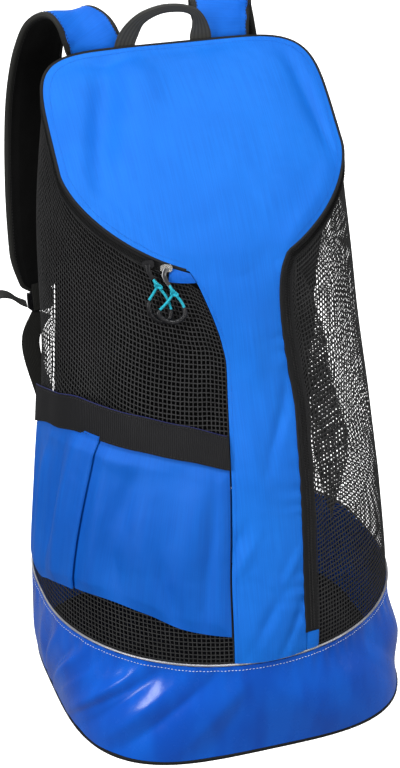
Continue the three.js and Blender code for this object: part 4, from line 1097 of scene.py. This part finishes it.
def makeBack():
    inset = 2 * seam["sewn"] / float(np.linalg.norm(perDegree(bag["rightBack"], 4)))
    low, high = bag["rightBack"] + inset, bag["leftBack"] - inset
    outer, inner = seam["netThick"] / 2, seam["netThick"] / 2 - back["padding"]

    def panel(u, v, side):
        angle, level = mix(low, high, u), mix(panelFoot + 0.03, backTop, v)
        inwards, upwards = np.minimum(u, 1 - u), np.minimum(v, 1 - v)
        rim = np.minimum(inwards * back["width"], upwards * back["height"]) / back["edge"]
        held = np.ones(len(u))
        for row in back["rows"]:
            held = held * (1 - bump((v - row) / back["rowHalf"]))
        held = held * (1 - bump((inwards - back["sides"][0]) / back["sideHalf"])) * ramp(rim, 0, 1) ** 0.5
        wander = 0.6 + 0.4 * np.sin(v * 40 + np.sin(u * 9) * 2) * np.sin(u * 13)
        puffed = outer - back["channel"] + back["puff"] * held * (0.7 + 0.3 * wander)
        off = np.where(side > 0.5, puffed, inner + 0.002)
        return bodyPoint(angle, level, mix(outer - back["padding"] / 2, off, ramp(rim, -0.3, 0.6)))
    piece = slab("backPanel", 120, 170, panel, (1, 0, 0))
    dress(piece, spacerBlack, padBlack, slot="padding", replaces=["back_panel"])
    level = mix(panelFoot + 0.03, backTop, np.linspace(0.03, 0.97, 400))
    for name, share in zip(("Right", "Left"), back["sides"]):
        angle, off = np.full(400, mix(low, high, share)), outer + 0.0002 - back["channel"]
        skinStitches("backStitches" + name, angle, level, off, threadBlack, "padding")

    # Painted shade: a thin dark sheet just inside the right net, beside the back panel, where shade falls
    # behind the net
    def shadeSheet(u, v, side):
        level = mix(panelFoot + 0.03, backTop, v)
        angle = mix(np.interp(level, facingRows[:, 0], facingRows[:, 1]), bag["rightBack"] + 0.6, u)
        depth = back["facing"] + (1 - side) * back["facingThick"]
        return bodyPoint(angle, level, netOff(angle + 360, level) - depth)
    piece = slab("backShadeSheet", 8, 120, shadeSheet)
    dress(piece, tapeBlack, slot="webbing")

    foot = backTop + levelDrop(90, 5.9, seam["gap"])
    middle = seam["cloth"] / 2 + back["bindingDepth"] / 2 + seam["gap"]

    def binding(u, v, side):
        rounded = np.sin(math.pi * np.clip(v, 0.04, 0.96)) ** 0.3
        off = middle + (side - 0.5) * back["bindingDepth"] * rounded
        return bodyPoint(mix(bag["rightBack"], bag["leftBack"], u), mix(foot, 6, v), off)
    piece = slab("hoodBinding", 160, 10, binding)
    dress(piece, tapeBlack, slot="webbing", replaces=["hood_binding"])


makeBack()
print("back made")

# Pocket: a pleated panel under a ribbed band, on the left front
pocket = {
    "standOff": 0.0024, "cloth": 0.001, "edgeOff": 0.0012, "back": 158, "pleatHem": 201.5, "pleatTop": 210.5,
    "full": 0.006, "band": 0.0022, "trim": 0.0009, "frontGap": 0.9, "hemReach": 0.07, "seams": (0.06, 0.94),
    "leftColumns": 53, "rightColumns": 69,
}
pocketRows = np.array((  # angle, level of the band's top, of its lower edge and of the hem
    (158, 3.68, 3.35, 2.12), (174, 3.95, 3.64, 2.18), (186, 4.16, 3.83, 2.34), (203, 4.46, 4.12, 2.51),
    (219, 4.58, 4.24, 2.58), (230, 4.62, 4.28, 2.55), (242, 4.61, 4.27, 2.44), (261, 4.5, 4.16, 2.34),
))
pleatRows = np.array((  # metres past the pleat's line, metres off the panel: over, back, and under
    (-0.006, 0.0044), (-0.002, 0.0047), (-0.0004, 0.0044), (0, 0.0036), (-0.0008, 0.0028),
    (-0.0068, 0.0018), (-0.0076, 0.0008), (-0.0068, 0.0003), (-0.001, -0.0002), (0.0025, -0.0004),
))
pocketFolds = (  # share of the way from the pleat, left negative, up, half widths, lean, height
    (0.1, 0.5, 0.06, 0.5, -0.05, 0.005), (0.27, 0.66, 0.075, 0.24, 0.14, -0.0065),
    (0.27, 0.2, 0.08, 0.18, -0.3, -0.006), (0.44, 0.42, 0.09, 0.3, -0.25, 0.006),
    (0.6, 0.2, 0.06, 0.22, -0.4, -0.006), (0.72, 0.55, 0.09, 0.3, 0.12, 0.005),
    (0.86, 0.4, 0.05, 0.45, 0.05, -0.0045), (0.2, 0.9, 0.2, 0.07, 0.1, 0.003),
    (0.62, 0.88, 0.2, 0.08, 0.1, -0.003), (-0.18, 0.5, 0.07, 0.5, 0.1, 0.007),
    (-0.38, 0.45, 0.07, 0.5, 0.16, -0.008), (-0.6, 0.55, 0.08, 0.5, 0.1, 0.0065),
    (-0.82, 0.5, 0.07, 0.4, 0.05, -0.004), (-0.4, 0.15, 0.14, 0.12, 0.4, 0.003),
    (-0.55, 0.85, 0.12, 0.1, -0.3, -0.004),
)


def pocketLevel(column, angle):
    return smooth(pocketRows[:, 0], pocketRows[:, column], angle)


def pocketFront(level):
    return stripLeft(level) - pocket["frontGap"]


def makePocket():
    left = np.linspace(0, 1, pocket["leftColumns"] + 1)[:-1]
    right = np.linspace(0, 1, pocket["rightColumns"] + 1)[1:]
    past, off = pleatRows.T
    weights = np.vstack([  # left end, pleat, right end, metres past, off
        np.stack([1 - left, left, 0 * left, past[0] * left, off[0] * left ** 3], -1),
        np.stack([0 * past, 0 * past + 1, 0 * past, past, off], -1),
        np.stack([0 * right, 1 - right, right, past[-1] * (1 - right), off[-1] * (1 - right)], -1),
    ])
    columns = len(weights) - 1

    def panel(u, v):
        row = weights[np.round(u * columns).astype(int)]
        pleat = mix(pocket["pleatHem"], pocket["pleatTop"], v)
        past = row[:, 3] / np.linalg.norm(perDegree(pleat, 3.4), axis=-1)

        def angleFor(front):
            return row[:, 0] * pocket["back"] + row[:, 1] * pleat + row[:, 2] * front + past
        angle = angleFor(pocketFront(3.4))
        level = mix(pocketLevel(3, angle), pocketLevel(2, angle) + 0.04, v)
        angle = angleFor(pocketFront(level))
        side = row[:, 2] - row[:, 0]
        sideways = np.minimum(angle - pocket["back"], pocketFront(level) - angle) / 4.0
        upwards = np.minimum(v, 0.965 - v) / pocket["hemReach"]
        held = np.clip(np.minimum(sideways, upwards), 0, 1) ** 0.7
        full = pocket["full"] * np.sin(math.pi * v) ** 0.5 * (1 - 0.6 * ramp(-side, 0.3, 1))
        off = mix(pocket["edgeOff"], pocket["standOff"] + full, held) + folds(pocketFolds, side, v) * held
        return bodyPoint(angle, level, np.maximum(off, pocket["edgeOff"]) + np.maximum(row[:, 4], 0))
    piece = sheet("pocketPanel", columns, 90, panel)
    edit(piece, facesOut)
    turnTowards(piece, (0, -1, 0))
    thicken(piece, pocket["cloth"], 1)
    dress(piece, pocketBlue, lining, slot="pocket_cloth", replaces=["pocket_panel"], angle=60)

    def bandAt(u, v, off):
        angle = mix(pocket["back"], pocketFront(4.3), u)
        return bodyPoint(angle, mix(pocketLevel(2, angle), pocketLevel(1, angle), v), off)

    def ribbed(u, v, side):
        middle = pocket["standOff"] + pocket["band"] / 2 + 0.0012 * np.sin(math.pi * v) * np.sin(u * 17) ** 2
        return bandAt(u, v, middle + (side - 0.5) * pocket["band"])
    piece = slab("pocketBand", 150, 14, ribbed)
    dress(piece, bandBlack, slot="webbing", replaces=["pocket_band"])
    u = np.linspace(0.002, 0.998, 400)
    line = bandAt(u, np.full(400, 1.0), pocket["standOff"] + pocket["band"] * 0.6)
    dress(pipe("pocketTrim", line, pocket["trim"], 8), navyTrim, slot="pocket_cloth")
    out = outwards(mix(pocket["back"], pocketFront(4.3), u), 4.2)
    for row, share in enumerate(pocket["seams"]):
        line = bandAt(u, np.full(400, share), pocket["standOff"] + pocket["band"] + 0.0004)
        stitchRow("pocketStitches" + str(row + 1), line, out, threadBlack, "webbing")


makePocket()
print("pocket made")

# Shoulder straps: padded, blue outside, with an edge binding; webbing and ladder locks below
strap = {
    "width": 0.076, "thick": 0.012, "rim": 0.0026, "binding": 0.005, "bindingThick": 0.0009, "slope": 0.2,
    "columns": 159, "channel": 0.16, "channelAt": 0.72, "wrinkle": 0.07, "wrinkles": 95,
    "seams": (-0.86, 0.86), "webbing": 0.025, "webbingThick": 0.002, "handleThick": 0.003,
    "lockWidth": 0.036, "lockHeight": 0.026, "lockLoop": 0.0046, "tail": 0.092, "bow": 0.016,
}
strapHeads = ("left", "right", "behind", "up", "width", "thick", "turnLeft", "turnRight")
strapRoute = np.array((
    (0.385, 0.31, -0.031, 0.905, 0.86, 0.5, 0, 0), (0.387, 0.31, -0.017, 0.945, 0.86, 0.6, 0, -3),
    (0.4, 0.315, 0.004, 0.985, 0.9, 0.85, 0, -6), (0.455, 0.32, 0.05, 1.024, 0.97, 1, 10, -8),
    (0.54, 0.335, 0.12, 1.044, 1, 1, 24, -8), (0.615, 0.37, 0.205, 1.028, 1, 1, 30, -4),
    (0.66, 0.42, 0.265, 0.985, 1, 1, 26, 2), (0.685, 0.47, 0.3, 0.92, 1, 1, 18, 6),
    (0.697, 0.505, 0.315, 0.84, 1, 1, 12, 8), (0.705, 0.53, 0.305, 0.74, 1, 1, 10, 8),
    (0.705, 0.54, 0.28, 0.64, 0.97, 0.95, 10, 8), (0.7, 0.54, 0.25, 0.565, 0.6, 0.6, 10, 8),
))
strapTable = dict(zip(strapHeads, strapRoute.T))
tailRoute = np.array((
    (0, 0, -0.03), (0.1, 0.02, 0.02), (0.25, 0.04, 0.13), (0.42, 0.04, 0.15), (0.55, 0.03, 0.02),
    (0.62, 0.01, -0.27),
))
handleRoute = np.array((  # across, behind, up, width
    (-0.275, 0, 0.973, 1), (-0.26, 0, 1.001, 1), (-0.231, 0.004, 1.019, 0.92), (-0.169, 0.008, 1.04, 0.6),
    (-0.062, 0.012, 1.052, 0.44), (0.027, 0.012, 1.053, 0.4), (0.1, 0.01, 1.049, 0.38),
    (0.148, 0.008, 1.04, 0.5), (0.168, 0.004, 1.024, 0.8), (0.173, 0, 1.003, 1.1), (0.178, 0, 0.973, 1.1),
))
bindingFace = bodyPoint(90, 6, seam["cloth"] / 2 + seam["gap"] + back["bindingDepth"])[1]
handleBehind = bindingFace + seam["gap"] + strap["handleThick"] / 2
strapBehind = handleBehind + strap["handleThick"] / 2 + seam["gap"] + strap["thick"] / 2


def rowValue(values, shares):
    return smooth(np.arange(len(values)) / (len(values) - 1), values, shares)


def strapFrames(side, count):
    out = strapTable["left" if side < 0 else "right"]
    rows = np.stack([
        side * bag["halfWidth"] * out, strapBehind + bag["halfDepth"] * strapTable["behind"],
        bagHeight * strapTable["up"],
    ], -1)
    shares = np.linspace(0, 1, count)
    turn = np.radians(rowValue(strapTable["turnLeft" if side < 0 else "turnRight"], shares))
    slope = strap["slope"] * (side < 0) * bump((shares - 0.42) / 0.22)
    wish = np.stack([np.cos(turn), -side * np.sin(turn), -slope], -1)
    points = curve(rows, shares)
    return points, *framesAlong(points, wish), shares


def webbing(name, points, wish, width, thick, look, nodes, slot="webbing", rows=10):  # a band along a route
    wide, out = framesAlong(points, wish)[1:]
    columns = len(points) - 1

    def place(u, v, side):
        index = np.round(u * columns).astype(int)
        edge = 1 - 0.5 * np.abs(2 * v - 1) ** 6
        across = wide[index] * ((v - 0.5) * width[index])[:, None]
        return points[index] + across + out[index] * ((side - 0.5) * thick[index] * edge)[:, None]
    piece = slab(name, columns, rows, place)
    return dress(piece, look, slot=slot, replaces=nodes)


def makeStrap(name, side):
    count = strap["columns"] + 1
    points, run, wide, out, shares = strapFrames(side, count)
    width = strap["width"] * rowValue(strapTable["width"], shares) / 2
    thick = strap["thick"] * rowValue(strapTable["thick"], shares) / 2
    rounded = np.minimum(1, np.sqrt(np.clip(1 - (1 - np.minimum(shares, 1 - shares) / 0.02) ** 2, 0.25, 1)))
    width = width * np.where(np.minimum(shares, 1 - shares) < 0.02, rounded, 1)

    def pad(u, v, face):
        index = np.round(u * (count - 1)).astype(int)
        across = 2 * v - 1
        edge = np.minimum(np.minimum(u, 1 - u) / 0.03, 1)
        full = np.sqrt(np.clip(1 - np.abs(across) ** 3, 0, 1)) * edge ** 0.5
        channel = 1 - strap["channel"] * bump((np.abs(across) - strap["channelAt"]) / 0.06)
        wave = np.sin(u * strap["wrinkles"] + np.sin(across * 3) * 1.5) * bump((u - 0.3) / 0.12)
        wrinkle = 1 + strap["wrinkle"] * wave
        half = strap["rim"] / 2 + (thick[index] - strap["rim"] / 2) * full * channel * wrinkle
        sideways = wide[index] * (across * width[index])[:, None]
        return points[index] + (sideways + out[index] * ((2 * face - 1) * half)[:, None])
    piece = slab("strapPad" + name, count - 1, 26, pad, (1, 1, 0))
    dress(piece, padBlack, strapBlue, slot="padding", replaces=["strap_pad_" + name.lower()])

    half = np.maximum(strap["rim"] / 2, thick * 0.5) + strap["bindingThick"]

    def edging(u, v, end):
        index, turn = np.round(u * (count - 1)).astype(int), v * 2 * math.pi
        across = end * (width[index] - strap["binding"] * 0.75) + strap["binding"] * np.cos(turn)
        lift = half[index] * np.sign(np.sin(turn)) * np.abs(np.sin(turn)) ** 0.7
        return points[index] + wide[index] * across[:, None] + out[index] * lift[:, None]
    for row, end in enumerate((-1, 1)):
        piece = tubing("strapBinding" + name + str(row + 1), count - 1, 14, lambda u, v: edging(u, v, end))
        dress(piece, webBlack, slot="webbing")
    inside = slice(6, -6)
    for row, share in enumerate(strap["seams"]):
        across = (wide * (share * width)[:, None])[inside]
        half = (strap["rim"] / 2 + (thick - strap["rim"] / 2) * math.sqrt(1 - abs(share) ** 3))[inside, None]
        for face, turn in (("Front", -1), ("Back", 1)):
            label = "strapStitches" + name + face + str(row + 1)
            line = points[inside] + across + turn * out[inside] * half
            stitchRow(label, line, turn * out[inside], threadBlack, "padding")

    end, lead = points[-1], run[-1]
    for label, turn in (("Front", 1), ("Back", -1)):
        shift = turn * out[-1] * strap["lockLoop"]
        start, stop = end - lead * 0.012 + shift * 0.6, end + lead * strap["lockHeight"] * 0.92 + shift
        route, flat = np.linspace(start, stop, 12), np.full(12, strap["webbing"])
        webbing("lockLoop" + name + label, route, np.tile(wide[-1], (12, 1)), flat, flat * 0.07, webBlack, [])
    below = end + lead * (strap["lockHeight"] / 2 + seam["gap"])
    start = below + lead * (strap["lockHeight"] / 2 + 1.4 * strap["webbingThick"])
    angle = (bag["leftBack"] if side < 0 else bag["rightBack"]) + side * 6
    off = seam["netThick"] + strap["webbingThick"] / 2 + seam["gap"]
    foot, middle = bodyPoint(angle, 2.05, off), bodyPoint(angle, 2.55, off + 0.003)
    bend = mix(start, middle, 0.6) + (side * 0.003, 0.012, 0)
    bow = mix(start, bend, 0.3) + (side * strap["bow"], 0.004, 0)
    route = curve(np.array((start, bow, bend, middle, foot)), np.linspace(0, 1, 90))
    flat = np.cross(unit(outwards(angle, 2.05) * (1, 1, 0)), (0, 0, 1.0))
    flat = flat * np.sign(flat[0])
    wish = mix(np.array((1.0, 0, 0)), flat, np.linspace(0, 1, 90)[:, None])
    band, thin = np.full(90, strap["webbing"]), np.full(90, strap["webbingThick"])
    node = "lower_webbing_" + name.lower()
    webbing("lowerWebbing" + name, route, wish, band, thin, webBlack, [node])

    start = below + (side * (strap["lockWidth"] / 2 + strap["webbingThick"] / 2), 0, 0)
    route = curve(start + tailRoute * (side, 1, 1) * strap["tail"], np.linspace(0, 1, 50))
    wish = np.tile((0.0, 1, 0), (50, 1))
    node = "webbing_end_" + name.lower()
    webbing("webbingEnd" + name, route, wish, band[:50], thin[:50], webBlack, [node])


def makeHandle():
    shares = np.linspace(0, 1, 140)
    rows = np.stack([
        bag["halfWidth"] * handleRoute[:, 0], handleBehind + bag["halfDepth"] * handleRoute[:, 1],
        bagHeight * handleRoute[:, 2],
    ], -1)
    points = curve(rows, shares)
    behind = np.tile((0.0, 1, 0), (140, 1))
    wish = framesAlong(points, behind)[2]
    width = rowValue(handleRoute[:, 3], shares)
    thick = strap["handleThick"] * (1 + 1.1 * ramp(1 - width, 0.2, 0.55))
    width = strap["webbing"] * width
    webbing("carryHandle", points, wish, width, thick, handleBlack, ["carry_handle"], rows=16)


makeStrap("Left", -1)
makeStrap("Right", 1)
makeHandle()
print("straps and handle made")

# Zip pulls: the sliders keep their solids; pullers, cord loops, knots and grips are made here
pulls = {
    "cord": 0.0016, "grip": 0.003, "ridges": 9, "knot": 0.0016, "knotShape": (0.8, 1, 1.2), "off": 0.00675,
    "eye": 0.0087, "pullerThick": 0.0016, "pullerWide": (0.0056, 0.0042), "pullerReach": 0.6,
    "sliderEdge": 0.0005, "lockEdge": 0.0008,
}
zipPulls = (
    {"name": "Left", "slider": (222.5, 5.945), "turn": 12, "knot": (228, 5.81, 0.2),
     "legs": (((226.5, 5.74, 0.6), (225, 5.67, 0.4)), ((232.5, 5.74, -0.9), (235, 5.655, -1.2))),
     "grip": ((225.4, 5.6, 0.1), (227.6, 5.545, -1), (231, 5.53, -1.6), (234.4, 5.57, -1.6))},
    {"name": "Right", "slider": (231.3, 5.972), "turn": -14, "knot": (235.6, 5.795, 2),
     "legs": (((233, 5.71, 2.6), (230, 5.625, 2.6)), ((239, 5.75, 1.4), (241, 5.7, 1))),
     "grip": ((229.5, 5.59, 2.6), (232.2, 5.553, 2.6), (236.8, 5.555, 2.3), (241.2, 5.63, 1.2))},
)


def cordSpot(row):
    return bodyPoint(row[0], row[1], pulls["off"] + row[2] * pulls["cord"])


def cordTube(name, points, radius, look, slot, nodes=(), columns=60, sides=14):
    line = resample(curve(points, np.linspace(0, 1, 200)), columns + 1)
    return dress(pipe(name, line, radius, sides), look, slot=slot, replaces=nodes)


def makePull(pull):
    name, angle, level = pull["name"], *pull["slider"]
    label = name.lower()
    out = outwards(angle, level)
    across = unit(np.cross(unit(perLevel(angle, level)), out))
    lean = math.radians(pull["turn"])
    hang = np.cross(across, out) * math.cos(lean) + across * math.sin(lean)
    head, knot = bodyPoint(angle, level, pulls["off"]), cordSpot(pull["knot"])
    bend = head + hang * pulls["eye"]
    eye = mix(bend, knot, pulls["pullerReach"])
    toKnot = knot - eye
    wide = out * (pulls["pullerThick"] / 2 + pulls["cord"] + 5 * seam["gap"])
    sides = [[eye + side * wide + toKnot * 0.1, eye + side * wide + toKnot * 0.6, knot] for side in (1, -1)]
    bight = np.array(sides[0][::-1] + [eye] + sides[1])
    cordTube("cordBight" + name, bight, pulls["cord"], cordTeal, "cord", ["pull_loop_" + label])
    tips = []
    for row, leg in enumerate(pull["legs"]):
        points = np.array([knot, *(cordSpot(spot) for spot in leg)])
        cordTube("cordLeg" + name + str(row + 1), points, pulls["cord"], cordTeal, "cord", columns=30)
        tips.append(points[-1] + unit(points[-1] - points[-2]) * 2 * seam["gap"])
    turn = np.linspace(0, 2 * math.pi, 121)[:-1]
    twist = np.sin(turn) + 2 * np.sin(2 * turn), np.cos(turn) - 2 * np.cos(2 * turn), -np.sin(3 * turn)
    axes = np.stack([across, unit(toKnot), out])
    loop = knot + (np.stack(twist, -1) * pulls["knotShape"] * pulls["knot"]) @ axes
    dress(pipe("cordKnot" + name, loop, pulls["cord"] * 0.9, 12, closed=True), cordTeal, slot="cord")

    def girth(u):
        end = np.minimum(u, 1 - u)
        ridge = 1 + 0.05 * np.sin(u * 2 * math.pi * pulls["ridges"]) * ramp(end, 0.1, 0.2)
        return pulls["grip"] * np.sqrt(ramp(end, -0.02, 0.06)) * ridge
    points = np.array([tips[0], *(cordSpot(spot) for spot in pull["grip"]), tips[1]])
    cordTube("pullGrip" + name, points, girth, plasticBlack, "black_plastic", ["pull_grip_" + label], 90, 18)
    finishSolid("zip_slider_" + label, plasticBlack if name == "Left" else sliderSteel, pulls["sliderEdge"])
    route = curve(np.array((head, bend, mix(eye, knot, 0.25))), np.linspace(0, 1, 24))
    girths = np.linspace(*pulls["pullerWide"], 24)
    thin = np.full(24, pulls["pullerThick"])
    look, slot = (plasticBlack, "black_plastic") if name == "Left" else (pullerSteel, "slider_metal")
    nodes = ["zip_puller_" + label]
    webbing("zipPuller" + name, route, np.tile(across, (24, 1)), girths, thin, look, nodes, slot, 8)


def finishSolid(node, look, bevel):  # a hard solid of the frame, with its edges eased
    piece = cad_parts[node]
    piece.data.materials.clear()
    piece.data.materials.append(look)
    eased = piece.modifiers.new("eased", "BEVEL")
    eased.width = bevel
    eased.segments = 2
    eased.limit_method = "ANGLE"


for pull in zipPulls:
    makePull(pull)
for side in ("left", "right"):
    finishSolid("ladder_lock_" + side, plasticBlack, pulls["lockEdge"])
remove(stitchMaster)
print("pulls and hardware made")

# Camera, floor and soft studio light
studio = {
    "azimuth": -19.5, "elevation": 28.0, "roll": 0.7, "distance": 2.374, "target": (-0.0207, 0.0, 0.4036),
    "lens": 90.56, "sky": 0.26, "glow": 0.8, "aim": (0, 0, 0.4), "floor": 12,
}
lights = (  # name, place, width, height, power
    ("keyLight", (-2.9, -1.2, 1.9), 0.9, 2.2, 112),
    ("topLight", (0.2, -0.5, 3.7), 1.8, 1.8, 97),
    ("frontLight", (0.3, -3.2, 1.0), 1.6, 0.9, 26),
    ("fillLight", (2.8, -1.9, 1.4), 0.8, 2.2, 34),
    ("backLight", (-0.6, 3.0, 2.2), 2.2, 2.2, 45),
)


def makeCamera():
    azimuth, elevation, roll = (math.radians(studio[key]) for key in ("azimuth", "elevation", "roll"))
    backwards = Vector((math.sin(azimuth) * math.cos(elevation), -math.cos(azimuth) * math.cos(elevation),
                        math.sin(elevation)))
    right = Vector((math.cos(azimuth), math.sin(azimuth), 0))
    up = backwards.cross(right)
    rolledRight = right * math.cos(roll) + up * math.sin(roll)
    rolledUp = up * math.cos(roll) - right * math.sin(roll)
    bpy.ops.object.camera_add()
    camera = bpy.context.object
    camera.data.lens = studio["lens"]
    camera.data.clip_end = 60
    turn = Matrix((rolledRight, rolledUp, backwards)).transposed().to_4x4()
    camera.matrix_world = Matrix.Translation(Vector(studio["target"]) + backwards * studio["distance"]) @ turn
    bpy.context.scene.camera = camera


def areaLight(name, place, width, height, power):
    bpy.ops.object.light_add(type="AREA", location=place)
    light = bpy.context.object
    light.name = name
    light.data.shape = "RECTANGLE"
    light.data.size, light.data.size_y = width, height
    light.data.energy = power
    light.rotation_euler = (Vector(studio["aim"]) - Vector(place)).to_track_quat("-Z", "Y").to_euler()


def makeStudio():
    world = bpy.data.worlds.new("studio")
    world.use_nodes = True
    tree = world.node_tree
    seen = tree.nodes.new("ShaderNodeLightPath")
    strength = tree.nodes.new("ShaderNodeMapRange")  # the plain backdrop is pale, the light from it soft
    strength.inputs["To Min"].default_value, strength.inputs["To Max"].default_value = studio["sky"], 1.0
    tree.links.new(seen.outputs["Is Camera Ray"], strength.inputs["Value"])
    tree.links.new(strength.outputs["Result"], tree.nodes["Background"].inputs["Strength"])
    tree.nodes["Background"].inputs["Color"].default_value = (1, 1, 1, 1)
    bpy.context.scene.world = world
    for light in lights:
        areaLight(*light)
    bpy.ops.mesh.primitive_plane_add(size=studio["floor"])
    floor = bpy.context.object
    floor.name = "floor"
    paint = {"Roughness": 0.9, "Base Color": (0.9, 0.9, 0.9), "Emission Strength": studio["glow"]}
    white = Look("floor paint", {**paint, "Emission Color": (1.0, 1.0, 1.0)})
    floor.data.materials.append(white.material)
    floor.visible_glossy = floor.visible_diffuse = False
    bpy.context.scene.view_settings.view_transform = "Standard"


makeCamera()
makeStudio()
print("studio ready")
